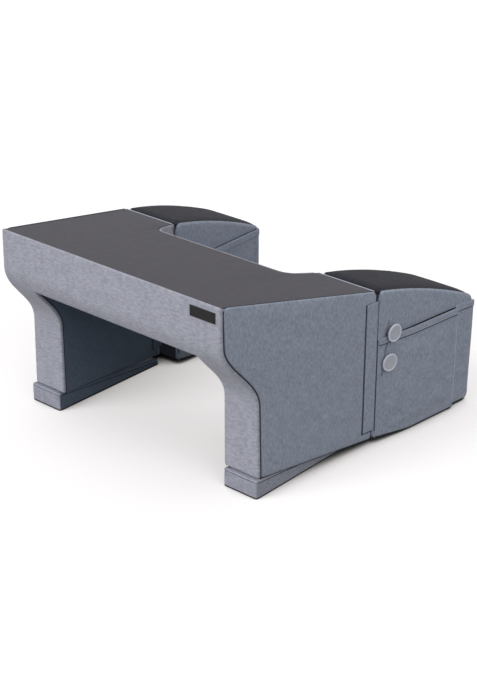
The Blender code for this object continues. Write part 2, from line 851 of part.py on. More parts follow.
def flap_solid(face_x, outward, side, low, high):
    """Cloth strip with a rolled edge round its hinge axis."""
    half = FLAP_CLOTH / 2
    y_axis = flap_axis_y()
    centre = Vector((face_x(y_axis) + outward * half, y_axis))
    along = Vector((SIDE_SPLAY, 1.0)).normalized()
    across = Vector((along.y, -along.x))
    plan = []
    for step in range(ARC_STEPS + 2):
        turn = math.pi * step / (ARC_STEPS + 1)
        plan.append(centre + across * half * math.cos(turn) + along * half * math.sin(turn))
    tip = centre - along * (FLAP_WIDTH - half)
    plan += [tip - across * half, tip + across * half]
    rings = [[(side * x, y, z) for x, y in plan] for z in (low, high)]
    return loft(rings), (side * centre.x, centre.y, low)


def make_flaps(label, side, armrest):
    """An outer and an inner flap for one armrest, and the hook tape that each one grips."""
    foot = foot_z(BACK) + FLAP_FOOT_RISE
    outer_top = top_z(BACK) - FLAP_HEM_DROP
    inner_top = under_z(BACK) - INNER_FLAP_DROP
    kinds = (
        ("outer", outer_flap_face, 1, side_x, outer_top),
        ("inner", inner_flap_face, -1, leg_inner_x, inner_top),
    )
    for kind, face_x, outward, wall_x, top in kinds:
        mesh, axis_point = flap_solid(face_x, outward, side, foot, top)
        carrier = add_carrier(f"{label}_{kind}_flap_hinge", axis_point, armrest)
        name = f"{label}_{kind}_flap"
        place(name, mesh, finish(name, SIDE_LINEN, 0.9), carrier)
        y_near = flap_axis_y() - FLAP_WIDTH + HOOK_MARGIN
        y_far = BACK - HOOK_MARGIN
        low = foot + HOOK_MARGIN
        high = top - HOOK_MARGIN
        profile = [(y_near, low), (y_far, low), (y_far, high), (y_near, high)]
        near = shifted(wall_x, outward * SEAT)
        far = shifted(wall_x, outward * (SEAT + HOOK_TAPE))
        name = f"{label}_{kind}_hook_tape"
        place(name, side_solid(profile, near, far, side), finish(name, TAPE, 0.95))


def main():
    clear_scene()
    tunnel, belly = make_cutters()
    make_desk_core(tunnel, belly)
    make_desk_top()
    make_front_cover(tunnel)
    make_side_covers()
    make_under_covers()
    make_back_covers()
    make_label()
    make_risers()
    for label, side in SIDES:
        armrest = make_armrest(label, side)
        make_flaps(label, side, armrest)


main()
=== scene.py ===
# %% [markdown]
# # A padded lap desk, dressed piece by piece
# The real thing is a foam desk on two side legs. Two armrests are tied to its back with hook-and-loop
# flaps, and a loose wedge lifts each leg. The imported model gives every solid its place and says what
# moves with what. This lesson sews the cloth round those solids.

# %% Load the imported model
import math

import bmesh
import bpy
import numpy as np
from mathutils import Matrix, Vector, noise


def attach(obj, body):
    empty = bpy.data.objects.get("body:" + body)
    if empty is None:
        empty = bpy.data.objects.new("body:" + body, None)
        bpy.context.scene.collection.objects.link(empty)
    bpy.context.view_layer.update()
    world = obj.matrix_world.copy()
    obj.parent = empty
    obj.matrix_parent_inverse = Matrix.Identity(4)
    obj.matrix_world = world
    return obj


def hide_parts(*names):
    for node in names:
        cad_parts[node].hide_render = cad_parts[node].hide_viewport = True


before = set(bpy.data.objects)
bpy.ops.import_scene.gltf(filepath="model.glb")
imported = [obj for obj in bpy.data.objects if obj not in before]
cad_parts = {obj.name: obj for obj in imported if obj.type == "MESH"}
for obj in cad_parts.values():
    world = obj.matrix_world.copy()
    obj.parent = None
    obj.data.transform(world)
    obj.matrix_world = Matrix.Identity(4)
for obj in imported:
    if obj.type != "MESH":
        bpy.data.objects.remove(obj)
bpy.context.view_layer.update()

# %% [markdown]
# ## The camera
# The desk was pictured from its front right, from above, with a long lens. The place and the angles were
# solved from the desk's straight edges, so the camera goes exactly there.

# %% Set up the camera
CAMERA_PLACE = (1.9676, -2.20115, 1.5432)
CAMERA_PITCH = 0.4449
CAMERA_YAW = 0.7218
LENS = 85.88

lens = bpy.data.cameras.new("camera")
lens.lens = LENS
lens.sensor_width = 36.0
lens.clip_start, lens.clip_end = 0.1, 60.0
camera = bpy.data.objects.new("camera", lens)
camera.location = CAMERA_PLACE
camera.rotation_euler = (math.pi / 2 - CAMERA_PITCH, 0.0, CAMERA_YAW)
bpy.context.scene.collection.objects.link(camera)
bpy.context.scene.camera = camera
print("camera", round(Vector(CAMERA_PLACE).length, 2), "m from the desk's middle")

# %% [markdown]
# ## Sizes
# The sizes below are the ones that the solids were drawn with, in metres, apart from the inner pocket's
# mouth, which is set a little higher here. +Y points to the person behind the desk, and x is measured
# from the middle, so one set of numbers serves both sides.

# %% Sizes of the desk
FRONT, BACK = -0.33235, 0.04965
FRONT_HALF_WIDTH, SIDE_SPLAY = 0.281, 0.131
TOP_FRONT_HEIGHT, TOP_FALL = 0.4025, 0.2094
APRON_LOWER_EDGE, APRON_TURN, LEG_TURN, LEG_SETBACK = 0.2847, 0.325, 0.185, 0.0805
LEG_INNER_FRONT, LEG_INNER_SPLAY = 0.2095, 0.0745
BELLY_HALF_MOUTH, BELLY_DEPTH, BELLY_LEAN, BELLY_RADIUS = 0.188, 0.069, 0.27, 0.028
RISER_FRONT, RISER_BACK = -0.25935, 0.02665
RISER_INNER, RISER_OUTER, RISER_FRONT_HEIGHT, RISER_FALL = 0.2215, 0.3025, 0.0385, 0.0945
SEAT = 0.0003

# %% Sizes of the armrests
ARM_FRONT, ARM_BACK = 0.05045, 0.33345
ARM_PROUD, ARM_OUTER_SPLAY = 0.0012, 0.097
ARM_INNER_FRONT, ARM_INNER_SPLAY = 0.188, 0.0477
ARM_TOP_DROP, ARM_SLOPE_START, ARM_SLOPE_END, ARM_END_RADIUS = 0.001, 0.185, 0.444, 0.020
ARM_FRONT_LIFT, ARM_LIFT_LENGTH = 0.009, 0.089
OUTER_MOUTH, INNER_MOUTH, MOUTH_FALL = 0.2225, 0.2320, 0.007
FLAP_WIDTH, FLAP_CLOTH, HOOK_TAPE_THICKNESS, HOOK_MARGIN = 0.0275, 0.0013, 0.0007, 0.003
FLAP_AXIS = ARM_FRONT - 0.0012

# %% The faces of the object as functions of the depth y
def side_x(y):
    return FRONT_HALF_WIDTH + SIDE_SPLAY * (y - FRONT)


def leg_inner_x(y):
    return LEG_INNER_FRONT + LEG_INNER_SPLAY * (y - FRONT)


def arm_outer_x(y):
    return side_x(BACK) + ARM_PROUD + ARM_OUTER_SPLAY * (y - ARM_FRONT)


def arm_inner_x(y):
    return ARM_INNER_FRONT + ARM_INNER_SPLAY * (y - ARM_FRONT)


def top_z(y):
    return TOP_FRONT_HEIGHT - TOP_FALL * (y - FRONT)


def under_z(y):
    return APRON_LOWER_EDGE - RISER_FALL * (y - FRONT)


def riser_z(y):
    return RISER_FRONT_HEIGHT - RISER_FALL * (y - RISER_FRONT)


def foot_z(y):
    return riser_z(y) + SEAT


def arm_bottom_z(y):
    return ARM_FRONT_LIFT * np.maximum(1 - (y - ARM_FRONT) / ARM_LIFT_LENGTH, 0.0)


FLAP_FOOT = foot_z(BACK) + 0.0215
OUTER_FLAP_TOP, INNER_FLAP_TOP = top_z(BACK) - 0.019, under_z(BACK) - 0.012
SIDES = (("left", -1), ("right", 1))
print("desk", round(2 * side_x(BACK), 3), "m wide at its back")

# %% [markdown]
# ## Curves that the panels are cut to
# A cover is cut from flat cloth, so each panel is given by the curves round it: the S of the front, the
# notch for the body and the top of an armrest. An offset of the same curve gives the edge of a panel that
# starts a few millimetres further in.

# %% The front of the desk from the top down
def front_path(inset=0.0, steps=48):
    """Points (y, z): apron, half-cosine turn, front of the leg, drawn in by inset."""
    path = [(FRONT + inset, top_z(FRONT + inset))]
    drop = APRON_TURN - LEG_TURN
    for part in np.linspace(0, 1, steps):
        y = FRONT + LEG_SETBACK * (1 - math.cos(math.pi * part)) / 2
        z = APRON_TURN - drop * part
        run = LEG_SETBACK * math.pi / 2 * math.sin(math.pi * part)
        length = math.hypot(run, drop)
        path.append((y + inset * drop / length, z + inset * run / length))
    y = FRONT + LEG_SETBACK + inset
    return np.array(path + [(y, foot_z(y))])


# %% The notch for the body, from its right mouth to its left one
def belly_path(inset=0.0, mouth=BACK, steps=9):
    slant = math.hypot(1, BELLY_LEAN)
    deep = BACK - BELLY_DEPTH - inset

    def wall(y):
        return BELLY_HALF_MOUTH + BELLY_LEAN * (y - BACK) + inset * slant

    start, corner, middle = (Vector(p) for p in ((wall(mouth), mouth), (wall(deep), deep), (0.0, deep)))
    back, ahead = (start - corner).normalized(), (middle - corner).normalized()
    radius = BELLY_RADIUS + inset
    half = back.angle(ahead) / 2
    centre = corner + (back + ahead).normalized() * radius / math.sin(half)
    first = (corner + back * radius / math.tan(half) - centre).normalized()
    last = (corner + ahead * radius / math.tan(half) - centre).normalized()
    arc = [tuple(centre + first.slerp(last, part) * radius) for part in np.linspace(0, 1, steps)]
    right = [tuple(start)] + arc
    return np.array(right + [(-x, y) for x, y in reversed(right)])


# %% The top of an armrest, which falls and rolls over into its back
def arm_top_path(inset=0.0, y_front=ARM_FRONT, steps=40, arc_steps=10):
    lean = math.atan(ARM_SLOPE_END)
    y_tangent = ARM_BACK - ARM_END_RADIUS * (1 - math.sin(lean))
    bend = (ARM_SLOPE_END - ARM_SLOPE_START) / (y_tangent - ARM_FRONT)
    start = top_z(ARM_FRONT) - ARM_TOP_DROP

    def height(y):
        s = y - ARM_FRONT
        slope = ARM_SLOPE_START + bend * s
        return start - ARM_SLOPE_START * s - bend * s * s / 2 - inset * math.hypot(1, slope)

    y_last = y_tangent - inset * math.sin(lean)
    path = [(y, height(y)) for y in np.linspace(y_front, y_last, steps)[:-1]]
    reach = ARM_END_RADIUS - inset
    centre = (ARM_BACK - ARM_END_RADIUS, height(y_last) - reach * math.cos(lean))
    for turn in np.linspace(math.pi / 2 - lean, 0, arc_steps):
        path.append((centre[0] + reach * math.cos(turn), centre[1] + reach * math.sin(turn)))
    return np.array(path)


print("armrest top falls from", round(arm_top_path()[0][1], 3), "to", round(arm_top_path()[-1][1], 3))

# %% [markdown]
# ## One way to sew every panel
# A sewn panel is nearly flat, but its edge rolls into the seam and its middle stands a little proud,
# because the foam behind it pushes. A box with a bevel would look like a block. Here each panel is a fine
# grid between four edge curves. Near an edge each point drops along a quarter circle, the corners are
# drawn in, the middle is crowned, and a hem turns under so that no seam shows a cut edge.

# %% Walk along a line of points by its length
def run_along(line):
    """Length from the start of a line of points to each of them."""
    steps = np.linalg.norm(np.diff(np.asarray(line, float), axis=0), axis=1)
    return np.concatenate(([0.0], np.cumsum(steps)))


def along(line, fractions):
    line, run = np.asarray(line, float), run_along(line)
    at = np.asarray(fractions) * run[-1]
    return np.stack([np.interp(at, run, line[:, axis]) for axis in range(line.shape[1])], axis=1)


def length_of(line):
    return float(np.linalg.norm(np.diff(np.asarray(line, float), axis=0), axis=1).sum())


# %% Where the rows and columns of a grid lie: close together where an edge rolls
ROLL_STOPS = (0.0, 0.05, 0.19, 0.41, 0.69, 1.0, 1.6)
CORNER_STOPS = (0.0025, 0.0055)


def stops(length, near, far, step):
    def end_stops(radius):
        rolled = [radius * k for k in ROLL_STOPS]
        return rolled + [rolled[-1] + more for more in CORNER_STOPS] if radius else [0.0]

    start, end = end_stops(near), [length - place for place in reversed(end_stops(far))]
    count = max(1, round((end[0] - start[-1]) / step))
    middle = list(np.linspace(start[-1], end[0], count + 1)[1:-1])
    return np.array(start + middle + end) / length


# %% Fill the space between four edge curves
def patch(bottom, top, left, right, across, upward):
    """Grid of points between four curves that share their corners; left and right run upward."""
    u, v = across[:, None, None], upward[None, :, None]
    low, high = along(bottom, across)[:, None], along(top, across)[:, None]
    near, far = along(left, upward)[None], along(right, upward)[None]
    corners = (1 - u) * (1 - v) * low[0] + u * (1 - v) * low[-1] + (1 - u) * v * high[0] + u * v * high[-1]
    return (1 - v) * low + v * high + (1 - u) * near + u * far - corners


# %% Distance from every point to one edge of the panel
def reach(points, line):
    start, step = line[:-1], np.diff(line, axis=0)
    gap = points[:, None] - start[None]
    part = np.clip((gap * step).sum(-1) / np.maximum((step * step).sum(-1), 1e-18), 0, 1)
    distance = np.linalg.norm(gap - part[..., None] * step, axis=-1)
    nearest = distance.argmin(1)
    rows = np.arange(len(points))
    return distance[rows, nearest], nearest, part[rows, nearest]


def unit(vectors):
    return vectors / np.maximum(np.linalg.norm(vectors, axis=-1, keepdims=True), 1e-12)


def smooth(part):
    part = np.clip(part, 0, 1)
    return part * part * (3 - 2 * part)


# %% Turn a grid of points into quads that face one way, with a flat place for each point
def quads_of(grid):
    across, upward = grid.shape[:2]
    index = np.arange(across * upward).reshape(across, upward)
    quads = np.stack([index[:-1, :-1], index[1:, :-1], index[1:, 1:], index[:-1, 1:]], -1)
    return index, quads.reshape(-1, 4)


def spread_out(grid, facing, keep=None, flat=False):
    """Points, index, quads, normals and flat places of a grid; keep says which quads stay."""
    index, quads = quads_of(grid)
    if keep is not None:
        quads = quads[keep.reshape(-1)]
    normals = unit(np.cross(np.gradient(grid, axis=0), np.gradient(grid, axis=1)).reshape(-1, 3))
    if flat:
        normals[:] = unit(normals.mean(0))
    if (normals @ np.array(facing, float)).mean() < 0:
        normals, quads = -normals, quads[:, ::-1]
    run_u, run_v = run_along(grid[:, grid.shape[1] // 2]), run_along(grid[grid.shape[0] // 2])
    spots = np.stack(np.meshgrid(run_u, run_v, indexing="ij"), -1).reshape(-1, 2)
    return grid.reshape(-1, 3), index, quads, normals, spots


def ring_faces(before, now):
    """Quads between two closed rows of vertices of the same length."""
    pairs = zip(before, before[1:] + before[:1], now, now[1:] + now[:1])
    return [(after, first, low, high) for first, after, low, high in pairs]


# %% Find the edges of a grid of quads, split at its corners
CORNER = math.cos(math.radians(38))


def border_sides(points, quads):
    """Closed loops of vertex indices, and each loop cut into its edges."""
    edges = {(int(a), int(b)) for quad in quads for a, b in zip(quad, np.roll(quad, -1))}
    after = {a: b for a, b in edges if (b, a) not in edges}
    loops = []
    while after:
        first = min(after)
        loop = [first]
        while after.get(loop[-1]) is not None:
            following = after.pop(loop[-1])
            if following == first:
                break
            loop.append(following)
        loops.append(loop)
    found = []
    for loop in loops:
        ring = points[loop]
        ahead = unit(np.roll(ring, -1, axis=0) - ring)
        turn = (ahead * np.roll(ahead, 1, axis=0)).sum(-1)
        corners = [k for k in range(len(loop)) if turn[k] < CORNER]
        if not corners:
            found.append([loop + loop[:1]])
            continue
        turned = loop[corners[0]:] + loop[:corners[0]] + [loop[corners[0]]]
        cuts = [k - corners[0] for k in corners] + [len(loop)]
        found.append([turned[a:b + 1] for a, b in zip(cuts, cuts[1:])])
    return loops, found


# %% How far each point is from an edge, and round the corners between edges
def edge_facts(points, normals, line):
    """Distance to the edge, direction into the panel and run along the edge, for every point."""
    distance, which, part = reach(points, points[line])
    step = np.diff(points[line], axis=0)
    length = np.linalg.norm(step, axis=1)
    inner = unit(np.cross(normals[line[:-1]], step))[which]
    run = np.concatenate(([0.0], np.cumsum(length)))[which] + part * length[which]
    return distance, inner, run


def round_corners(points, normals, sides, radii):
    """Shift that bends each outer corner of the panel into a quarter circle."""
    shift = np.zeros_like(points)
    for group in sides:
        facts = [(line, label, *edge_facts(points, normals, line)[:2]) for line, label in group]
        for (line, label, gap, inner), (line_2, label_2, gap_2, inner_2) in zip(facts, facts[1:] + facts[:1]):
            ahead, after = points[line[-1]] - points[line[-2]], points[line_2[1]] - points[line_2[0]]
            if line is line_2 or np.cross(ahead, after) @ normals[line[-1]] <= 0:
                continue
            radius = radii.get(" ".join(sorted((label, label_2))), radii["other"])
            near, near_2 = np.clip(1 - gap / radius, 0, 1), np.clip(1 - gap_2 / radius, 0, 1)
            span = np.maximum(np.hypot(near, near_2), 1e-9)
            pull = np.where((near > 0) & (near_2 > 0), 1 - np.maximum(near, near_2) / span, 0)
            shift += (pull * radius)[:, None] * (near[:, None] * inner + near_2[:, None] * inner_2)
    return shift


# %% Give each edge of a panel its name, or inner round an opening
def name_edges(index, found):
    names = {}
    lines = {"left": index[0], "right": index[-1], "bottom": index[:, 0], "top": index[:, -1]}
    for label, line in lines.items():
        names.update({frozenset(pair): label for pair in zip(line.tolist(), line[1:].tolist())})

    def name_of(line):
        half = len(line) // 2
        return names.get(frozenset(line[half - 1:half + 1]), "inner")

    return [[(line, name_of(line)) for line in group] for group in found]


# %% Sew a panel: round its corners, roll its edges, crown its middle, turn its hem under
RIPPLE_PITCH, RIPPLE_FINER, PUCKER_PITCH = 18, 2.6, 95
PUCKER_REACH, PUCKER_END, CALM_EDGE, LAP_TUCK = 0.009, 0.03, 0.006, 0.0006
HEM_TURNS, RIM_TURNS = (30, 60, 90), (45, 0, -45)
SEWN = []


def sew(name, grid, facing, roll=0.004, corner=0.006, crown=0.0012, soft=0.03, wrap=0.0004, tuck=0.0012,
        hem=0.003, keep=None, side=1, seed=0, ripple=0.0003, pucker=0.0002, flat=False, sunk=None, lap=None):
    """Mesh object from a grid of points. roll and corner are radii, or one for each named edge or pair."""
    points, index, quads, normals, spots = spread_out(grid, facing, keep, flat)
    loops, found = border_sides(points, quads)
    sides = name_edges(index, found)
    corners = corner if isinstance(corner, dict) else {"other": corner}
    points = points + round_corners(points, normals, sides, corners)
    radii = roll if isinstance(roll, dict) else {"other": roll}
    share, weight, steepest, run_at = (np.zeros(len(points)) for _ in range(4))
    bulge, nearest_edge, inward = np.ones(len(points)), np.full(len(points), 9.0), np.zeros_like(points)
    for line, label in (pair for group in sides for pair in group):
        radius = radii.get(label, radii.get("other", 0.004))
        distance, inner, run = edge_facts(points, normals, line)
        near = np.clip(1 - distance / radius, 0, 1)
        weight += near ** 2
        share += near ** 2 * radius
        inward += near[:, None] * inner
        steepest = np.maximum(steepest, near)
        bulge *= 1 - np.exp(-distance / soft)
        closer = distance < nearest_edge
        run_at[closer] = run[closer]
        nearest_edge = np.minimum(nearest_edge, distance)
    radius = share / np.maximum(weight, 1e-12)
    drop = radius * (1 - np.sqrt(np.clip(1 - steepest ** 2, 0, 1)))
    lift = crown * bulge
    calm = 1 - np.exp(-nearest_edge / CALM_EDGE)
    for k, place in enumerate(points):
        spot = Vector(place) * RIPPLE_PITCH + Vector((seed * 7.3, seed * 3.1, side * 5.0))
        lift[k] += ripple * calm[k] * (noise.noise(spot) + 0.5 * noise.noise(spot * RIPPLE_FINER))
        if pucker and nearest_edge[k] < PUCKER_END:
            fold = noise.noise(Vector((run_at[k] * PUCKER_PITCH, seed * 1.7, 0.0)))
            lift[k] += pucker * fold * math.exp(-nearest_edge[k] / PUCKER_REACH) * calm[k] * 3
    if sunk is not None:
        lift *= 1 - sunk(points)
    moved = points + normals * (lift - drop)[:, None]
    vertices, flat_places, faces = [moved], [spots], [tuple(q) for q in quads.tolist()]
    inward = unit(inward)
    total = len(moved)
    for loop in loops:
        deep, inner = -normals[loop], inward[loop]
        rings = [deep * wrap]
        for turn in HEM_TURNS:
            angle = math.radians(turn)
            rings.append(deep * (wrap + tuck * math.sin(angle)) + inner * tuck * (1 - math.cos(angle)))
        last = rings[-1] + inner * hem
        for label, way in (lap or {}).items():
            lapped = {k for group in sides for line, at in group if at == label for k in line}
            here = np.array([k in lapped for k in loop])
            last[here] = rings[-1][here] + inner[here] * LAP_TUCK + np.array(way)
        before = list(loop)
        for ring in rings + [last]:
            vertices.append(moved[loop] + ring)
            flat_places.append(spots[loop])
            now = list(range(total, total + len(loop)))
            total += len(loop)
            faces += ring_faces(before, now)
            before = now
    SEWN.append(make_mesh(name, np.concatenate(vertices), faces, np.concatenate(flat_places), side))
    return SEWN[-1]


def make_mesh(name, vertices, faces, spots, side=1):
    """Mesh object with a flat layout in metres, mirrored to the left side when side is -1."""
    vertices = np.array(vertices, float)
    if side < 0:
        vertices[:, 0] *= -1
        faces = [tuple(reversed(face)) for face in faces]
    used = sorted({k for face in faces for k in face})
    order = {k: n for n, k in enumerate(used)}
    faces = [tuple(order[k] for k in face) for face in faces]
    mesh = bpy.data.meshes.new(name)
    mesh.from_pydata(vertices[used].tolist(), [], faces)
    layer = mesh.uv_layers.new(name="cloth")
    spots = np.array(spots)[used]
    layer.data.foreach_set("uv", spots[[k for face in faces for k in face]].reshape(-1))
    mesh.shade_smooth()
    mesh.validate()
    piece = bpy.data.objects.new(name, mesh)
    bpy.context.scene.collection.objects.link(piece)
    return piece


# %% Let loose cloth settle before it is sewn on
SIM_SCALE = 10.0


def settle(grid, loose, slack=0.01, push=0.0, weight=0.0, frames=24, limit=0.003):
    """Hold a grid of cloth where loose is 0 and let the rest find its place.

    The cloth is cut wider than its frame by slack, a cushion pushes it outward, and weight is the share of
    gravity that it feels. It is simulated SIM_SCALE times as large, and its shift is limited softly.
    """
    quads = quads_of(grid)[1]
    mesh = bpy.data.meshes.new("loose_cloth")
    mesh.from_pydata((grid.reshape(-1, 3) * SIM_SCALE).tolist(), [], quads.tolist())
    piece = bpy.data.objects.new("loose_cloth", mesh)
    bpy.context.scene.collection.objects.link(piece)
    held = piece.vertex_groups.new(name="held")
    for k, share in enumerate(loose.reshape(-1).tolist()):
        held.add([k], 1.0 - share, "REPLACE")
    cloth = piece.modifiers.new("cloth", "CLOTH")
    cloth.point_cache.frame_start, cloth.point_cache.frame_end = 1, frames
    rules = cloth.settings
    rules.quality, rules.mass, rules.air_damping = 8, 0.1, 2.0
    rules.tension_stiffness, rules.compression_stiffness = 60, 40
    rules.shear_stiffness, rules.bending_stiffness = 20, 1.5
    rules.vertex_group_mass = "held"
    rules.shrink_min = -slack
    rules.use_pressure, rules.uniform_pressure_force = push != 0, push
    rules.effector_weights.gravity = weight
    for moment in range(1, frames + 1):
        bpy.context.scene.frame_set(moment)
    seen = piece.evaluated_get(bpy.context.evaluated_depsgraph_get())
    places = np.empty(len(seen.data.vertices) * 3)
    seen.data.vertices.foreach_get("co", places)
    bpy.context.scene.frame_set(1)
    bpy.data.objects.remove(piece)
    bpy.data.meshes.remove(mesh)
    shift = places.reshape(grid.shape) / SIM_SCALE - grid
    size = np.linalg.norm(shift, axis=-1, keepdims=True)
    print("cloth settled by up to", round(float(size.max()) * 1000, 1), "mm")
    return grid + shift * (limit * np.tanh(size / limit) / np.maximum(size, 1e-9))


def flat_size(grid):
    """Width and length of a grid of cloth when it is laid flat."""
    ways = grid.transpose(1, 0, 2), grid
    return tuple(round(max(length_of(line) for line in lines), 4) for lines in ways)


# %% Give a piece its finish, hang it on the body that carries it and hide the solids that it replaces
def dress(piece, body, finish, slot, *nodes):
    piece.data.materials.clear()
    piece.data.materials.append(finish)
    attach(piece, body)
    if nodes:
        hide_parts(*nodes)
    return piece


# %% [markdown]
# ## Loose cloth, tubes and stitches
# Pockets, hems, flaps and labels have cut edges and can be seen from both sides, so they are thin solids
# with a half-round rim. Piping, seam threads and the closure cord are tubes, and a stitch is a short
# thread that dives into the cloth at both ends.

# %% A thin sheet with a rounded rim
def cut_sheet(name, grid, thickness, facing, side=1):
    points, _, quads, normals, spots = spread_out(grid, facing)
    loops, _ = border_sides(points, quads)
    half, count = thickness / 2, len(points)
    vertices, places = [points + normals * half, points - normals * half], [spots, spots]
    faces = [tuple(q) for q in quads.tolist()]
    faces += [tuple(k + count for k in reversed(face)) for face in faces]
    total = 2 * count
    for loop in loops:
        ring = points[loop]
        ahead = unit(np.roll(ring, -1, axis=0) - np.roll(ring, 1, axis=0))
        outward = unit(np.cross(ahead, normals[loop]))
        before = list(loop)
        for turn in RIM_TURNS:
            angle = math.radians(turn)
            vertices.append(ring + half * (normals[loop] * math.sin(angle) + outward * math.cos(angle)))
            places.append(spots[loop])
            now = list(range(total, total + len(loop)))
            total += len(loop)
            faces += ring_faces(before, now)
            before = now
        faces += ring_faces(before, [k + count for k in loop])
    return make_mesh(name, np.concatenate(vertices), faces, np.concatenate(places), side)


# %% A tube along a line, closed at its ends by small domes
DOME_ANGLES = (0.6, 1.1, 1.5)


def tube(name, line, radius, side=1, around=10, closed=False):
    line = np.asarray(line, float)
    if closed:
        ahead = unit(np.roll(line, -1, axis=0) - np.roll(line, 1, axis=0))
    else:
        ahead = unit(np.gradient(line, axis=0))
    across = np.cross(ahead[0], (0.31, 0.17, 0.93))
    spine = list(zip(line, ahead, [radius] * len(line)))
    if not closed:
        domes = [[(line[end] + way * ahead[end] * radius * math.sin(a), ahead[end], radius * math.cos(a))
                  for a in DOME_ANGLES] for end, way in ((0, -1), (-1, 1))]
        spine = domes[0][::-1] + spine + domes[1]
    vertices, spots, run, last = [], [], 0.0, spine[0][0]
    for centre, direction, girth in spine:
        across = unit(across - direction * (across @ direction))
        up = np.cross(direction, across)
        run += float(np.linalg.norm(centre - last))
        last = centre
        for k in range(around):
            angle = 2 * math.pi * k / around
            vertices.append(centre + girth * (across * math.cos(angle) + up * math.sin(angle)))
            spots.append((run, radius * min(k, around - k) * 2 * math.pi / around))
    faces, count = [], len(spine)
    for ring in range(count if closed else count - 1):
        start, after = ring * around, (ring + 1) % count * around
        for k in range(around):
            m = (k + 1) % around
            faces.append((start + k, start + m, after + m, after + k))
    if not closed:
        faces += [tuple(reversed(range(around))), tuple(range((count - 1) * around, count * around))]
    return make_mesh(name, vertices, faces, spots, side)


# %% A row of stitches along a line that lies on a surface
STITCH_PARTS, STITCH_SIDES, STITCH_DIVE = (-1.0, -0.8, -0.4, 0.0, 0.4, 0.8, 1.0), 6, 1.6


def stitches(name, line, normals, pitch=0.0034, share=0.72, radius=0.00032, side=1, sink=0.00004):
    total = length_of(line)
    count = max(2, round(total / pitch))
    vertices, faces, spots = [], [], []
    both = np.concatenate([np.asarray(line, float), np.asarray(normals, float)], axis=1)
    run = run_along(line)

    def at(distance):
        return np.array([np.interp(distance, run, both[:, k]) for k in range(6)])

    for stitch in range(count):
        middle = total * (stitch + 0.5) / count
        reach_out = total / count * share / 2
        rings = []
        for part in STITCH_PARTS:
            place = middle + part * reach_out
            here = at(place)
            point, up = here[:3], unit(here[3:])
            ahead = unit(at(place + 1e-4)[:3] - at(place - 1e-4)[:3])
            out = np.cross(ahead, up)
            girth = radius * math.sqrt(max(1 - part ** 4, 0.04))
            centre = point + up * (radius * (1 - STITCH_DIVE * part ** 4) - sink)
            rings.append(len(vertices))
            for k in range(STITCH_SIDES):
                angle = 2 * math.pi * k / STITCH_SIDES
                vertices.append(centre + girth * (up * math.cos(angle) + out * math.sin(angle)))
                spots.append((place, radius * k))
        rows = [list(range(ring, ring + STITCH_SIDES)) for ring in rings]
        for row, after in zip(rows, rows[1:]):
            faces += [(row[k - 1], row[k], after[k], after[k - 1]) for k in (*range(1, STITCH_SIDES), 0)]
        faces += [tuple(rows[0][::-1]), tuple(rows[-1])]
    return make_mesh(name, vertices, faces, spots, side)


# %% A turned piece, such as a covered button
def turned(name, profile, centre, axis, side=1, around=48):
    """profile is (radius, height) points from the middle of the back to the middle of the front."""
    axis = unit(np.array(axis, float))
    across = unit(np.cross(axis, (0, 0, 1)))
    up = np.cross(across, axis)
    run = run_along(profile)
    vertices, spots, faces = [], [], []
    for (radius, height), place in zip(profile[1:-1], run[1:-1]):
        for k in range(around):
            angle = 2 * math.pi * k / around
            arm = across * math.cos(angle) + up * math.sin(angle)
            vertices.append(np.array(centre) + arm * radius + axis * height)
            spots.append(((run[-1] - place) * math.cos(angle), (run[-1] - place) * math.sin(angle)))
    rings = len(profile) - 2
    for ring in range(rings - 1):
        rows = [list(range(start, start + around)) for start in (ring * around, (ring + 1) * around)]
        faces += ring_faces(*rows)
    for (_, height), ring, flip in ((profile[0], 0, True), (profile[-1], rings - 1, False)):
        tip = len(vertices)
        vertices.append(np.array(centre) + axis * height)
        spots.append((0.0, 0.0))
        for k in range(around):
            face = (ring * around + k, ring * around + (k + 1) % around, tip)
            faces.append(face if flip else face[::-1])
    return make_mesh(name, vertices, faces, spots, side)


# %% [markdown]
# ## Finishes
# The cover is a heather linen: pale and dark threads twisted together, with slubs that run across the
# cloth. Its colour is mixed from stretched noise at the size of the slubs, and the weave is a bump at the
# size of a thread. The desk top is a matt leatherette with a fine pebble grain. Every number that is the
# same all over is set on the shader itself.

# %% Shorthands for shader nodes
def new_finish(name, roughness, sheen=0.0, level=0.5):
    finish = bpy.data.materials.new(name)
    finish.use_nodes = True
    shader = finish.node_tree.nodes["Principled BSDF"]
    shader.inputs["Roughness"].default_value = roughness
    shader.inputs["Sheen Weight"].default_value = sheen
    shader.inputs["Sheen Roughness"].default_value = 0.5
    shader.inputs["Specular IOR Level"].default_value = level
    return finish, finish.node_tree, shader


def add(tree, kind, inputs=None, **settings):
    made = tree.nodes.new(kind)
    for key, value in settings.items():
        setattr(made, key, value)
    for key, value in (inputs or {}).items():
        if isinstance(value, bpy.types.NodeSocket):
            tree.links.new(value, made.inputs[key])
        else:
            made.inputs[key].default_value = value
    return made


def cloth_place(tree, stretch=(1.0, 1.0)):
    layout = add(tree, "ShaderNodeUVMap", uv_map="cloth")
    mapped = add(tree, "ShaderNodeMapping", {"Vector": layout.outputs[0], "Scale": (*stretch, 1.0)})
    return mapped.outputs[0]


def noise_at(tree, place, scale=1.0, detail=2.0, rough=0.5):
    settings = {"Vector": place, "Scale": scale, "Detail": detail, "Roughness": rough}
    return add(tree, "ShaderNodeTexNoise", settings).outputs[0]


def blend_colours(tree, factor, first, second):
    mix = add(tree, "ShaderNodeMix", {0: factor}, data_type="RGBA")
    for slot_at, colour in ((6, first), (7, second)):
        if isinstance(colour, bpy.types.NodeSocket):
            tree.links.new(colour, mix.inputs[slot_at])
        else:
            mix.inputs[slot_at].default_value = (*colour, 1.0)
    return mix.outputs[2]


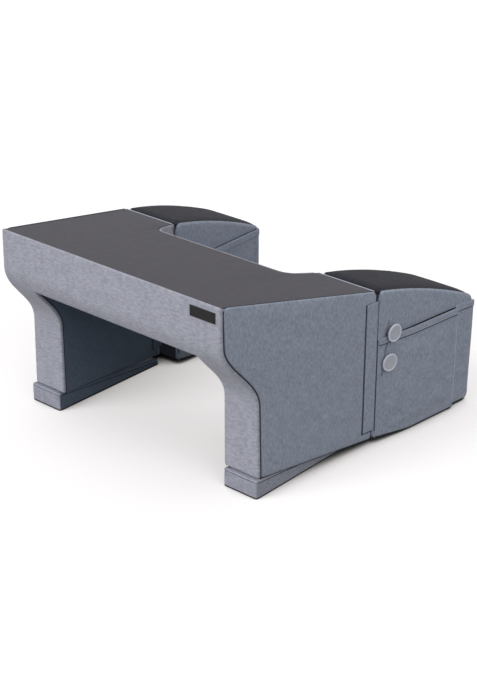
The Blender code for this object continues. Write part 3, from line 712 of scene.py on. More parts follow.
def spread(tree, value, low, high, to_low=0.0, to_high=1.0):
    settings = {0: value, 1: low, 2: high, 3: to_low, 4: to_high}
    return add(tree, "ShaderNodeMapRange", settings).outputs[0]


def reckon(tree, operation, first, second=0.0):
    return add(tree, "ShaderNodeMath", {0: first, 1: second}, operation=operation).outputs[0]


def bump(tree, shader, height, distance, strength=1.0):
    made = add(tree, "ShaderNodeBump", {"Height": height, "Distance": distance, "Strength": strength})
    tree.links.new(made.outputs[0], shader.inputs["Normal"])


def colour_by(tree, shader, tone, dark, pale):
    tree.links.new(blend_colours(tree, tone, dark, pale), shader.inputs["Base Color"])


# %% Plain weave: warp and weft pass over each other in turn
def weave(tree, pitch):
    """Which thread is on top, and the height of the cloth."""
    split = add(tree, "ShaderNodeSeparateXYZ", {0: cloth_place(tree)})
    waves = []
    for axis in (0, 1):
        turn = reckon(tree, "MULTIPLY", split.outputs[axis], math.pi / pitch)
        waves.append(reckon(tree, "SINE", turn))
    over = reckon(tree, "GREATER_THAN", reckon(tree, "MULTIPLY", *waves), 0.0)
    humps = [reckon(tree, "ABSOLUTE", wave) for wave in waves]
    return over, add(tree, "ShaderNodeMix", {0: over, 2: humps[0], 3: humps[1]}).outputs[0]


# %% Heather linen in two tones: clouds, slubs, flecks and single threads each bring a share
CLOUD_SHARE, SLUB_SHARE, FLECK_SHARE, THREAD_SHARE = 0.17, 0.42, 0.20, 0.21
CLOUD_SCALE, FLECK_SCALE, YARN_SCALE, SLUB_RELIEF, LINEN_RELIEF = 40.0, 460.0, 80.0, 0.8, 0.00026


def linen(name, pale, dark, slub=(0.0075, 0.003), pitch=0.0009, along_v=False):
    finish, tree, shader = new_finish(name, 0.88, sheen=0.18, level=0.25)
    stretch = (1 / slub[1], 1 / slub[0]) if along_v else (1 / slub[0], 1 / slub[1])
    slubs = noise_at(tree, cloth_place(tree, stretch), 1.0, 2.0)
    flecks = noise_at(tree, cloth_place(tree, (FLECK_SCALE, FLECK_SCALE)), 1.0, 1.0)
    cloud = noise_at(tree, cloth_place(tree, (CLOUD_SCALE, CLOUD_SCALE)), 1.0, 2.0)
    over, height = weave(tree, pitch)
    warp = noise_at(tree, cloth_place(tree, (1 / pitch, YARN_SCALE)), 1.0, 1.0)
    weft = noise_at(tree, cloth_place(tree, (YARN_SCALE, 1 / pitch)), 1.0, 1.0)
    thread = add(tree, "ShaderNodeMix", {0: over, 2: warp, 3: weft}).outputs[0]
    tone = spread(tree, cloud, 0.3, 0.7, 0.0, CLOUD_SHARE)
    for part, share in ((slubs, SLUB_SHARE), (flecks, FLECK_SHARE), (thread, THREAD_SHARE)):
        tone = reckon(tree, "ADD", tone, spread(tree, part, 0.3, 0.7, 0.0, share))
    colour_by(tree, shader, tone, dark, pale)
    height = reckon(tree, "ADD", height, reckon(tree, "MULTIPLY", slubs, SLUB_RELIEF))
    bump(tree, shader, height, LINEN_RELIEF, 0.8)
    return finish


# %% Leatherette with a pebble grain
PEBBLE_SCALE, WRINKLE_SCALE, WEAR_SCALE, PEBBLE_RELIEF = 760.0, 210.0, 55.0, 0.00022


def leatherette(name, colour, worn, roughness, level):
    finish, tree, shader = new_finish(name, roughness, level=level)
    place = cloth_place(tree)
    scale = {"Vector": place, "Scale": PEBBLE_SCALE}
    cells = add(tree, "ShaderNodeTexVoronoi", scale, feature="DISTANCE_TO_EDGE")
    grain = spread(tree, cells.outputs["Distance"], 0.0, 0.22)
    cloud = noise_at(tree, place, WEAR_SCALE, 4.0, 0.65)
    colour_by(tree, shader, spread(tree, cloud, 0.2, 0.8), colour, worn)
    wrinkles = noise_at(tree, place, WRINKLE_SCALE, 2.0)
    height = reckon(tree, "ADD", grain, reckon(tree, "MULTIPLY", wrinkles, 0.9))
    bump(tree, shader, height, PEBBLE_RELIEF, 0.7)
    varied = spread(tree, cloud, 0.3, 0.7, roughness - 0.05, roughness + 0.05)
    tree.links.new(varied, shader.inputs["Roughness"])
    return finish


# %% Foam, plywood, rubbery sole, hooks, thread and woven label
def foam(name):
    finish, tree, shader = new_finish(name, 0.95, level=0.2)
    place = add(tree, "ShaderNodeTexCoord").outputs["Object"]
    cells = add(tree, "ShaderNodeTexVoronoi", {"Vector": place, "Scale": 900.0})
    tone = spread(tree, cells.outputs["Distance"], 0.1, 0.7)
    colour_by(tree, shader, tone, (0.62, 0.58, 0.47), (0.84, 0.81, 0.71))
    bump(tree, shader, tone, 0.0004, 0.6)
    return finish


def plywood(name):
    finish, tree, shader = new_finish(name, 0.6)
    place = add(tree, "ShaderNodeTexCoord").outputs["Object"]
    long_grain = add(tree, "ShaderNodeMapping", {"Vector": place, "Scale": (5.0, 120.0, 120.0)}).outputs[0]
    grain = noise_at(tree, long_grain, 1.0, 4.0, 0.6)
    colour_by(tree, shader, grain, (0.42, 0.27, 0.14), (0.66, 0.48, 0.29))
    bump(tree, shader, grain, 0.0003, 0.4)
    return finish


def ribbed(name, colour, pale, pitch, roughness, height_of=0.0004):
    finish, tree, shader = new_finish(name, roughness, level=0.35)
    height = weave(tree, pitch)[1]
    half = reckon(tree, "MULTIPLY", height, 0.5)
    tone = reckon(tree, "ADD", half, noise_at(tree, cloth_place(tree), 140.0, 2.0))
    colour_by(tree, shader, spread(tree, tone, 0.4, 1.2), colour, pale)
    bump(tree, shader, height, height_of, 0.9)
    return finish


def twisted(name, dark, pale, pitch, slant=1.0, roughness=0.85):
    """Thread or cord whose strands run round it at a slant."""
    finish, tree, shader = new_finish(name, roughness, sheen=0.1, level=0.3)
    split = add(tree, "ShaderNodeSeparateXYZ", {0: cloth_place(tree)})
    run = reckon(tree, "ADD", split.outputs[0], reckon(tree, "MULTIPLY", split.outputs[1], slant))
    strand = reckon(tree, "ABSOLUTE", reckon(tree, "SINE", reckon(tree, "MULTIPLY", run, math.pi / pitch)))
    fuzz = noise_at(tree, cloth_place(tree), 900.0, 2.0)
    tone = reckon(tree, "ADD", reckon(tree, "MULTIPLY", strand, 0.6), reckon(tree, "MULTIPLY", fuzz, 0.5))
    colour_by(tree, shader, tone, dark, pale)
    bump(tree, shader, strand, pitch * 0.25, 0.8)
    return finish


# Slub length and width: long over the front, a little shorter on the sides, fine on the buttons
FRONT_SLUB, SIDE_SLUB, FINE_SLUB = (0.0095, 0.0042), (0.0085, 0.0042), (0.003, 0.0014)
FRONT_LINEN = linen("front_linen", (0.455, 0.463, 0.535), (0.185, 0.192, 0.238), FRONT_SLUB)
# The side linen is the front's cloth tinted bluer, which paints the cool shade on the sides
SIDE_LINEN = linen("side_linen", (0.412, 0.458, 0.562), (0.171, 0.197, 0.254), SIDE_SLUB, along_v=True)
# Inner linen: the side linen made darker to paint the shade on the armrests' inner sides and inner pockets
INNER_LINEN = linen("inner_linen", (0.352, 0.392, 0.488), (0.146, 0.169, 0.221), SIDE_SLUB, along_v=True)
# Riser linen: the front linen made a little darker to paint the shade on the risers
RISER_LINEN = linen("riser_linen", (0.394, 0.404, 0.477), (0.166, 0.174, 0.221), FRONT_SLUB)
# Shade linen: the side linen made much darker to paint the shade under the slab, inside the legs, on the
# inner flaps and their stitches, on the risers' sides towards the lap and inside the inner pockets
SHADE_LINEN = linen("lining_linen", (0.112, 0.155, 0.222), (0.058, 0.082, 0.124), SIDE_SLUB, along_v=True)
# Gap shade linen: near black, it paints the shade in the wedge of air behind the desk on each armrest's front
GAP_SHADE_LINEN = linen("gusset_linen", (0.052, 0.064, 0.090), (0.025, 0.031, 0.045), SIDE_SLUB, along_v=True)
BUTTON_LINEN = linen("button_linen", (0.60, 0.62, 0.70), (0.36, 0.375, 0.43), FINE_SLUB, 0.0007)
# The rims are the buttons' cloth made paler, which paints the highlight on their raised edge
RIM_HIGHLIGHT_LINEN = linen("button_rim_linen", (0.78, 0.80, 0.90), (0.55, 0.57, 0.65), FINE_SLUB, 0.0007)
TOP_LEATHERETTE = leatherette("leatherette", (0.0385, 0.0355, 0.0450), (0.0545, 0.0505, 0.0630), 0.54, 0.25)
ARM_LEATHERETTE = leatherette("armrest_leatherette", (0.0098, 0.0102, 0.0152), (0.0162, 0.0169, 0.0238),
                              0.62, 0.17)
FOAM = foam("foam")
PLYWOOD = plywood("plywood")
ANTISLIP = ribbed("antislip", (0.010, 0.010, 0.011), (0.030, 0.030, 0.033), 0.0026, 0.88)
HOOK_TAPE = ribbed("hook_tape", (0.030, 0.032, 0.038), (0.12, 0.125, 0.14), 0.0012, 0.95, 0.0006)
LABEL_CLOTH = ribbed("label_cloth", (0.004, 0.004, 0.0045), (0.013, 0.013, 0.015), 0.0007, 0.75, 0.0001)
# Pale thread for the stitches; tubes of it also paint the highlights on the desk's back top edge and on each
# pocket's crease
THREAD_AND_HIGHLIGHT = twisted("thread", (0.34, 0.37, 0.45), (0.52, 0.56, 0.66), 0.0009)
# Dark seam thread; thick tubes of it also paint the shade in grooves and gaps and beside the flaps and feet
SEAM_AND_SHADE = twisted("seam_thread", (0.012, 0.014, 0.024), (0.032, 0.037, 0.058), 0.0016)
# Near black: tubes and sheets of it paint the contact shadow under the pockets and round the risers' feet,
# and the shade inside the outer pockets
SHADOW_BLACK = twisted("binding", (0.006, 0.006, 0.007), (0.014, 0.014, 0.016), 0.0016)
BRAID = twisted("cord", (0.085, 0.092, 0.118), (0.28, 0.30, 0.36), 0.0009)
print(len(bpy.data.materials), "finishes")


# %% Lay a thread into a seam, or a dark or pale tube that paints shade or a highlight
def lay_thread(name, line, radius, side, body, finish=SEAM_AND_SHADE, slot="side_linen", closed=False):
    return dress(tube(name, line, radius, side, around=8, closed=closed), body, finish, slot)


# %% [markdown]
# ## The desk
# One strip of cloth covers the apron, turns back in an S and runs down both legs. It wraps a few
# millimetres round each edge, where the side panels are sewn to it, so the seam lies on the side. The
# sides lean out a little towards the front feet, because the foam spreads there.

# %% Where panels meet
EDGE_ROLL, SIDE_ROLL, TOP_ROLL, FOOT_ROLL, INNER_ROLL = 0.0045, 0.0055, 0.0020, 0.005, 0.0015
SIDE_FRONT_ROLL, CEILING_GAP = 0.0025, 0.0006
SEAM_IN, SIDE_SEAM, TOP_SEAM, BACK_SEAM = 0.0068, 0.0078, 0.0054, 0.0036
LEG_FLARE, FLARE_FADE = 0.0085, 1.15
SPLIT_ROLL, THIN_ROLL, TOP_FRONT_SEAM = 0.0008, 0.001, 0.0036
# Rounded widths, depths and heights of the panels, which only set how their grids are spaced
LEG_SPAN, SIDE_SPAN, SIDE_RISE, TOP_SPAN, TOP_DEPTH = 0.075, 0.27, 0.30, 0.6, 0.33
INNER_LEG_SPAN, INNER_LEG_RISE, UNDERSIDE_SPAN, UNDERSIDE_DEPTH = 0.28, 0.23, 0.45, 0.3
SOLE_SPAN, SOLE_LENGTH, NOTCH_RISE = 0.065, 0.29, 0.065
FOOT_FRONT = FRONT + LEG_SETBACK
FLAP_GAP = 0.0034
FLAP_FRONT = FLAP_AXIS - FLAP_WIDTH


def desk_side(y, z):
    """Outer side of the desk, which stands out towards the front foot."""
    back = np.clip((y - FOOT_FRONT) / (BACK - FOOT_FRONT), 0, 1)
    down = np.clip((top_z(y) - z) / (top_z(y) - foot_z(y)), 0, 1)
    return side_x(y) + LEG_FLARE * (1 - FLARE_FADE * back) * down


# %% The front strip, with its opening between the legs
def sew_front_cover():
    path = front_path()
    run = run_along(path)
    above = path[:, 1] - under_z(path[:, 0])
    crossing = int(np.argmax(above < 0))
    part = above[crossing - 1] / (above[crossing - 1] - above[crossing])
    apron = run[crossing - 1] + (run[crossing] - run[crossing - 1]) * part
    total = run[-1]
    high = stops(apron, TOP_ROLL, EDGE_ROLL, 0.010) * apron
    low = apron + stops(total - apron, EDGE_ROLL, FOOT_ROLL, 0.010) * (total - apron)
    rows = np.concatenate([high, low[1:]])
    spine = np.stack([np.interp(rows, run, path[:, k]) for k in (0, 1)], -1)
    leg = stops(LEG_SPAN, EDGE_ROLL, SIDE_ROLL, 0.012)
    middle = np.linspace(-1, 1, 41)[1:-1]

    def legs_column(share, way):
        return [(way * (leg_inner_x(y) + (desk_side(y, z) - leg_inner_x(y)) * share), y, z) for y, z in spine]

    columns = [legs_column(share, -1) for share in leg[::-1]]
    columns += [[(leg_inner_x(y) * share, y, z) for y, z in spine] for share in middle]
    grid = np.array(columns + [legs_column(share, 1) for share in leg])
    keep = np.ones((len(grid) - 1, len(rows) - 1), bool)
    keep[len(leg) - 1:-(len(leg) - 1), len(high) - 1:] = False
    roll = {"left": SIDE_ROLL, "right": SIDE_ROLL, "bottom": TOP_ROLL, "top": FOOT_ROLL, "inner": EDGE_ROLL}
    allowance = (0.0, 0.016, -0.005)
    return sew("front_cover", grid, (0, -1, 0), roll=roll, corner={"other": 0.005}, keep=keep, crown=0.0014,
               seed=1, lap={"left": allowance, "right": allowance})


front_cover = dress(sew_front_cover(), "desk", FRONT_LINEN, "front_linen", "front_cover_panel")
print("front strip", len(front_cover.data.vertices), "points")


# %% The side panels, pressed flat where a flap lies on them
def under_flap(points):
    """1 on the outer flap's place, 0 well outside it."""
    y, z = points[:, 1], points[:, 2]
    ahead = smooth((y - FLAP_FRONT + FLAP_GAP) / 0.0008)
    return ahead * smooth((z - FLAP_FOOT + 0.003) / 0.003) * smooth((OUTER_FLAP_TOP + 0.0010 - z) / 0.0009)


def sew_side_panel(label, side):
    front = front_path(SIDE_SEAM)[::-1]
    split = FLAP_FRONT - FLAP_GAP
    low, high = [(y, foot_z(y)) for y in (split, BACK)], [(y, top_z(y)) for y in (split, BACK)]
    at_flap_ends = [np.linspace(0.903, 0.942, 17), np.linspace(0.060, 0.085, 6)]
    upward = np.unique(np.concatenate([stops(SIDE_RISE, FOOT_ROLL, TOP_ROLL, 0.010), *at_flap_ends]))
    seam, edge = [low[0], high[0]], [low[1], high[1]]
    across = stops(SIDE_SPAN, SIDE_FRONT_ROLL, SPLIT_ROLL, 0.011)
    ahead = patch([front[0], low[0]], [front[-1], high[0]], front, seam, across, upward)
    behind = patch(low, high, seam, edge, stops(BACK - split, SPLIT_ROLL, EDGE_ROLL, 0.006), upward)
    flat = np.concatenate([ahead, behind[1:]])
    grid = np.stack([desk_side(flat[..., 0], flat[..., 1]), flat[..., 0], flat[..., 1]], -1)
    roll = {"left": SIDE_FRONT_ROLL, "right": 0.005, "bottom": FOOT_ROLL, "top": TOP_ROLL}
    return sew(label + "_side_cloth", grid, (1, 0, 0), crown=0.0026, soft=0.008, side=side, roll=roll,
               seed=3 + side, corner={"left top": 0.014, "right top": 0.010, "other": 0.006}, sunk=under_flap)


# %% The top, and the panels inside the legs, under the slab and round the back
def slab_edges(flat_side, near, far, seam):
    """The straight front edge of a panel, and its back edge that follows the notch."""
    front = [(-flat_side(near), near), (flat_side(near), near)]
    notch = belly_path(seam, far)[::-1]
    return front, np.concatenate([[(-flat_side(far), far)], notch, [(flat_side(far), far)]])


def sew_top_skin():
    def flat_side(y):
        return side_x(y) - TOP_SEAM + TOP_FRONT_SEAM * (1 - smooth((y - FRONT - 0.005) / 0.012))

    near, far = FRONT + TOP_FRONT_SEAM, BACK - BACK_SEAM
    front, back = slab_edges(flat_side, near, far, TOP_SEAM)
    marks = run_along(back)
    marks /= marks[-1]
    across = np.unique(np.concatenate([stops(TOP_SPAN, INNER_ROLL, INNER_ROLL, 0.012), marks]))
    upward = stops(TOP_DEPTH, INNER_ROLL, INNER_ROLL, 0.012)
    ys = np.concatenate([np.linspace(near, near + 0.018, 7), [far]])
    left = np.array([(-flat_side(y), y) for y in ys])
    right = np.array([(flat_side(y), y) for y in ys])
    flat = patch(front, back, left, right, across, upward)
    grid = np.concatenate([flat, top_z(flat[..., 1:2])], -1)
    return sew("desk_top_leatherette", grid, (0, 0, 1), roll=INNER_ROLL, corner={"other": 0.0025},
               crown=0.0005, ripple=0.00005, pucker=0, seed=5)


def sew_inner_leg(label, side):
    path = front_path(SEAM_IN)[::-1]
    path = path[path[:, 1] < under_z(path[:, 0]) - CEILING_GAP]
    first_y = path[-1][0]
    path = np.concatenate([path, [(first_y - 0.0004, under_z(first_y) - CEILING_GAP)]])
    foot, crown = path[0], path[-1]
    far = BACK - SEAM_IN
    back = [(far, foot_z(far)), (far, under_z(far) - CEILING_GAP)]
    across = stops(INNER_LEG_SPAN, TOP_ROLL, INNER_ROLL, 0.014)
    upward = stops(INNER_LEG_RISE, FOOT_ROLL, INNER_ROLL, 0.014)
    flat = patch([foot, back[0]], [crown, back[1]], path, back, across, upward)
    grid = np.stack([leg_inner_x(flat[..., 0]), flat[..., 0], flat[..., 1]], -1)
    roll = {"left": TOP_ROLL, "right": INNER_ROLL, "bottom": FOOT_ROLL, "top": INNER_ROLL}
    return sew(label + "_inner_leg_cloth", grid, (-1, 0, 0), roll=roll, side=side,
               corner={"other": 0.003}, seed=9 + side)


def sew_underside():
    path = front_path()
    near = float(np.interp(0, (under_z(path[:, 0]) - path[:, 1]), path[:, 0])) + SEAM_IN
    far = BACK - SEAM_IN

    def flat_side(y):
        return leg_inner_x(y) - CEILING_GAP

    front, back = slab_edges(flat_side, near, far, SEAM_IN)
    across = stops(UNDERSIDE_SPAN, INNER_ROLL, INNER_ROLL, 0.012)
    upward = stops(UNDERSIDE_DEPTH, INNER_ROLL, INNER_ROLL, 0.014)
    flat = patch(front, back, [front[0], tuple(back[0])], [front[1], tuple(back[-1])], across, upward)
    grid = np.concatenate([flat, under_z(flat[..., 1:2])], -1)
    return sew("underside_cloth", grid, (0, 0, -1), roll=INNER_ROLL, seed=11)


def sew_leg_sole(label, side):
    near, far = FOOT_FRONT + SEAM_IN, BACK - SEAM_IN
    across = stops(SOLE_SPAN, THIN_ROLL, THIN_ROLL, 0.012)
    upward = stops(SOLE_LENGTH, THIN_ROLL, THIN_ROLL, 0.02)
    ys = near + (far - near) * upward
    starts, widths = leg_inner_x(ys) + SEAM_IN, side_x(ys) - leg_inner_x(ys) - 2 * SEAM_IN
    grid = np.array([np.stack([starts + widths * u, ys, foot_z(ys)], -1) for u in across])
    return sew(label + "_leg_grip", grid, (0, 0, -1), roll=THIN_ROLL, crown=-0.0005, ripple=0,
               pucker=0, side=side)


def sew_back_panel(label, side):
    outer, mouth, leg = side_x(BACK) - SEAM_IN, BELLY_HALF_MOUTH, leg_inner_x(BACK)
    slab = stops(leg - mouth, EDGE_ROLL, 0, 0.012) * (leg - mouth) + mouth
    post = stops(outer - leg, EDGE_ROLL, INNER_ROLL, 0.012) * (outer - leg) + leg
    xs = np.concatenate([slab, post[1:]])
    z0, z1, z2 = foot_z(BACK), under_z(BACK), top_z(BACK)
    low = stops(z1 - z0, EDGE_ROLL, 0, 0.014) * (z1 - z0) + z0
    high = stops(z2 - z1, EDGE_ROLL, TOP_ROLL, 0.012) * (z2 - z1) + z1
    zs = np.concatenate([low, high[1:]])
    grid = np.array([[(x, BACK, z) for z in zs] for x in xs])
    keep = np.ones((len(xs) - 1, len(zs) - 1), bool)
    keep[:len(slab) - 1, :len(low) - 1] = False
    roll = {"left": EDGE_ROLL, "right": INNER_ROLL, "bottom": FOOT_ROLL, "top": TOP_ROLL, "inner": EDGE_ROLL}
    return sew(label + "_back_cloth", grid, (0, 1, 0), roll=roll, keep=keep, side=side,
               corner={"other": 0.003}, crown=0.0002, ripple=0.0001, pucker=0, flat=True)


def sew_belly_panel():
    line = belly_path(0.0, BACK - SEAM_IN, steps=13)
    across = stops(length_of(line), INNER_ROLL, INNER_ROLL, 0.008)
    upward = stops(NOTCH_RISE, EDGE_ROLL, TOP_ROLL, 0.01)
    plan = along(line, across)
    grid = np.array([[(x, y, under_z(y) + (top_z(y) - under_z(y)) * v) for v in upward] for x, y in plan])
    roll = {"left": INNER_ROLL, "right": INNER_ROLL, "bottom": EDGE_ROLL, "top": TOP_ROLL}
    return sew("belly_notch_cloth", grid, (0, 1, 0), roll=roll, corner={"other": 0.003}, crown=0.0008,
               seed=13)


dress(sew_top_skin(), "desk", TOP_LEATHERETTE, "leatherette", "desk_top_skin")
# The underside's dark linen is painted shade
dress(sew_underside(), "desk", SHADE_LINEN, "side_linen", "underside_panel")
dress(sew_belly_panel(), "desk", FRONT_LINEN, "front_linen", "belly_notch_panel")
for label, side in SIDES:
    dress(sew_side_panel(label, side), "desk", SIDE_LINEN, "side_linen", label + "_side_panel")
    # The inner leg panel's dark linen is painted shade
    dress(sew_inner_leg(label, side), "desk", SHADE_LINEN, "side_linen", label + "_inner_leg_panel")
    dress(sew_back_panel(label, side), "desk", SIDE_LINEN, "side_linen", label + "_back_panel")
    dress(sew_leg_sole(label, side), "desk", ANTISLIP, "antislip", label + "_leg_sole")
print("desk covered")

# %% Dark seam thread in the grooves between the panels, laid thick so that it also paints the grooves' shade
THREAD_RADIUS, CORNER_REACH = 0.0020, 0.0148
GROOVE_IN, TOP_GROOVE_IN, TOP_GROOVE_SINK, ARC_SINK = 0.0016, 0.0040, 0.0010, 0.0018
GROOVE_INSET, GROOVE_PROUD = SIDE_SEAM - 0.0008, 0.0009
FLAP_SHADOW, LEG_FOOT_SHADOW, OUTER_LEG_FOOT_SHADOW, NOTCH_THREAD = 0.0012, 0.0014, 0.0016, 0.0013
BACK_HIGHLIGHT = 0.0008


def outer_groove(steps=9):
    """From the foot up the S, round the upper corner and along the top to the back."""
    ahead = front_path(GROOVE_INSET)[::-1]
    ahead = ahead[ahead[:, 1] < top_z(FRONT) - CORNER_REACH - 0.004]
    places = [(desk_side(y, z) - GROOVE_IN, y, z) for y, z in ahead]
    y0 = FRONT + GROOVE_INSET
    middle = (y0 + CORNER_REACH, top_z(y0 + CORNER_REACH) - CORNER_REACH + 0.0008)
    for part in np.linspace(0, 1, steps):
        turn = math.pi / 2 * part
        y = middle[0] - CORNER_REACH * math.cos(turn)
        z = middle[1] + CORNER_REACH * math.sin(turn) - ARC_SINK * part
        places.append((side_x(y) - GROOVE_IN - 0.0026 * part, y, z))
    ys = np.linspace(middle[0] + 0.01, BACK - 0.008, 24)
    return np.array(places + [(side_x(y) - TOP_GROOVE_IN, y, top_z(y) - TOP_GROOVE_SINK) for y in ys])


def inner_groove():
    path = front_path(SEAM_IN - 0.0006)[::-1]
    path = path[path[:, 1] < under_z(path[:, 0]) - 0.002]
    return np.array([(leg_inner_x(y) + 0.0011, y, z) for y, z in path])


def flap_shadow_path():
    """Under the flap's foot and up its front edge, where a dark tube paints the flap's shadow."""
    ahead = FLAP_FRONT - 0.0016
    ys, zs = np.linspace(BACK - 0.003, ahead + 0.0008, 6), np.linspace(FLAP_FOOT, OUTER_FLAP_TOP, 40)
    below = [(side_x(y) + GROOVE_PROUD, y, FLAP_FOOT - 0.0014) for y in ys]
    return np.array(below + [(side_x(ahead) + GROOVE_PROUD, ahead, z) for z in zs])


def notch_corner():
    """Up the notch's mouth and round its upper back corner."""
    corner, high = BELLY_HALF_MOUTH, top_z(BACK)
    rise = [(corner - 0.0010, BACK - 0.0066, z) for z in np.linspace(under_z(BACK) + 0.002, high - 0.004, 12)]
    rise += [(corner + 0.0004, BACK - 0.0078, high - 0.0010), (corner + 0.0018, BACK - 0.0062, high - 0.0008),
             (corner + 0.0040, BACK - 0.0046, high - 0.0010)]
    return np.array(rise)


for label, side in SIDES:
    # The seam threads are laid thick, so they also paint the shade in the grooves
    lay_thread(label + "_side_thread", outer_groove(), THREAD_RADIUS, side, "desk")
    lay_thread(label + "_inner_leg_thread", inner_groove(), THREAD_RADIUS, side, "desk")
for label, side in SIDES:
    # A dark tube paints the shadow below and in front of the outer flap
    lay_thread(label + "_flap_groove_thread", flap_shadow_path(), FLAP_SHADOW, side, "desk")
    # A pale tube along the back top edge paints the highlight on the back panel's rolled edge
    xs = np.linspace(BELLY_HALF_MOUTH + 0.006, side_x(BACK) - 0.006, 20)
    edge_tube = np.array([(x, BACK - 0.0026, top_z(BACK) + 0.0007) for x in xs])
    lay_thread(label + "_back_piping", edge_tube, BACK_HIGHLIGHT, side, "desk", THREAD_AND_HIGHLIGHT)
    # Dark tubes along the inner and outer foot of each leg stand for the dark sole's edge and paint the
    # contact shadow where the leg sits on its riser
    ys = np.linspace(FOOT_FRONT + 0.008, BACK - 0.006, 30)
    foot = np.array([(leg_inner_x(y) + 0.0034, y, foot_z(y) + 0.0014) for y in ys])
    lay_thread(label + "_foot_thread", foot, LEG_FOOT_SHADOW, side, "desk")
    ys = np.linspace(FOOT_FRONT + 0.007, BACK - 0.004, 30)
    foot = np.array([(desk_side(y, foot_z(y)) - 0.0019, y, foot_z(y) + 0.0016) for y in ys])
    lay_thread(label + "_outer_foot_thread", foot, OUTER_LEG_FOOT_SHADOW, side, "desk")
    lay_thread(label + "_notch_thread", notch_corner(), NOTCH_THREAD, side, "desk", slot="front_linen")
print("side seam", round(float(length_of(outer_groove())), 3), "m long")

# %% [markdown]
# ## The armrests
# Each armrest is a foam block with a leatherette pad on top and cloth round it. The side panels wrap over
# every edge, and the pad is sewn in between them. Its top falls towards the person and rolls over into
# the back.

# %% Panels of an armrest
ARM_ROLL, PAD_SEAM, END_SEAM, FRONT_SEAM, BASE_SHOWS = 0.006, 0.0078, 0.0082, 0.0058, 0.0026
OPENING_DEPTH, OPENING_HEIGHT, OPENING_CURVE = 0.0115, 0.040, 1.25
ARM_SPAN, ARM_RISE, PAD_SPAN, PAD_LENGTH, END_SPAN = 0.283, 0.28, 0.13, 0.31, 0.12
FRONT_ROLL, BASE_ROLL, PAD_FRONT_ROLL, PAD_ROLL, BASE_INSET = 0.0042, 0.003, 0.006, 0.0025, 0.0014
ARM_FRONT_TOP = float(arm_top_path(y_front=ARM_FRONT + OPENING_DEPTH)[0][1])


def arm_front_y(z):
    """The front face of an armrest leans back near its top and leaves a wedge of air behind the desk."""
    part = np.clip(1 - (ARM_FRONT_TOP - z) / OPENING_HEIGHT, 0, 1)
    return ARM_FRONT + OPENING_DEPTH * part ** OPENING_CURVE


def sew_arm_side(label, side, outer):
    top = arm_top_path(y_front=ARM_FRONT + OPENING_DEPTH)
    bend = len(top) - 5
    bottom = [(ARM_FRONT, ARM_FRONT_LIFT + BASE_SHOWS), (ARM_FRONT + ARM_LIFT_LENGTH, BASE_SHOWS),
              (ARM_BACK, BASE_SHOWS)]
    lean_from = ARM_FRONT_TOP - OPENING_HEIGHT
    straight = np.linspace(bottom[0][1], lean_from, 12)
    leaning = np.linspace(lean_from, ARM_FRONT_TOP, 12)[1:]
    left = [(arm_front_y(z), z) for z in np.concatenate([straight, leaning])]
    right = np.concatenate([[bottom[-1]], top[bend:][::-1]])
    across = stops(ARM_SPAN, ARM_ROLL, EDGE_ROLL, 0.011)
    upward = stops(ARM_RISE, ARM_ROLL, ARM_ROLL, 0.011)
    flat = patch(bottom, top[:bend + 1], left, right, across, upward)
    face = arm_outer_x if outer else arm_inner_x
    grid = np.stack([face(flat[..., 0]), flat[..., 0], flat[..., 1]], -1)
    name = f"{label}_armrest_{'outer' if outer else 'inner'}_cloth"
    roll = {"right": EDGE_ROLL, "bottom": BASE_ROLL, "left": FRONT_ROLL, "other": ARM_ROLL}
    corner = {"left top": 0.010, "bottom right": 0.010, "other": 0.006}
    return sew(name, grid, (1 if outer else -1, 0, 0), side=side, seed=20 + side + 2 * outer, roll=roll,
               corner=corner, crown=0.0014, hem=0.005, flat=True)


def sew_arm_pad(label, side):
    path = arm_top_path(y_front=ARM_FRONT + OPENING_DEPTH)
    rows = stops(length_of(path), PAD_FRONT_ROLL, INNER_ROLL, 0.007)
    spine = along(path, rows)
    across = stops(PAD_SPAN, PAD_ROLL, PAD_ROLL, 0.007)
    starts = arm_inner_x(spine[:, 0]) + PAD_SEAM
    widths = arm_outer_x(spine[:, 0]) - arm_inner_x(spine[:, 0]) - 2 * PAD_SEAM
    grid = np.array([np.column_stack([starts + widths * u, spine]) for u in across])
    rim_u = np.minimum(across, 1 - across)[:, None] * PAD_SPAN
    rim_v = np.minimum(rows, 1 - rows)[None] * PAD_LENGTH
    loose = smooth((rim_u - 0.002) / 0.008) * smooth((rim_v - 0.004) / 0.012)
    grid = settle(grid, loose, slack=0.012, push=6.0, limit=0.0035)
    crown = 0.0008
    roll = {"bottom": PAD_FRONT_ROLL, "top": INNER_ROLL, "other": PAD_ROLL}
    return sew(label + "_armrest_pad", grid, (0, 0, 1), crown=crown, soft=0.02, ripple=0.0003, pucker=0.00025,
               side=side, roll=roll, corner={"other": 0.004}, seed=30 + side)


def sew_arm_end(label, side, y, low, high, kind, seed):
    seam = FRONT_SEAM if kind == "front" else END_SEAM
    across = stops(END_SPAN, INNER_ROLL, INNER_ROLL, 0.012)
    zs = low + (high - low) * stops(high - low, EDGE_ROLL, INNER_ROLL, 0.012)
    depth = arm_front_y(zs) if kind == "front" else np.full(len(zs), y)
    near, far = arm_inner_x(depth) + seam, arm_outer_x(depth) - seam
    grid = np.array([np.stack([near + (far - near) * u, depth, zs], -1) for u in across])
    way, crown = (-1, 0.0002) if kind == "front" else (1, 0.001)
    roll = {"bottom": EDGE_ROLL, "other": INNER_ROLL}
    return sew(f"{label}_armrest_{kind}_cloth", grid, (0, way, 0), side=side, seed=seed, crown=crown,
               roll=roll, corner={"other": 0.003}, ripple=0.0001, pucker=0)


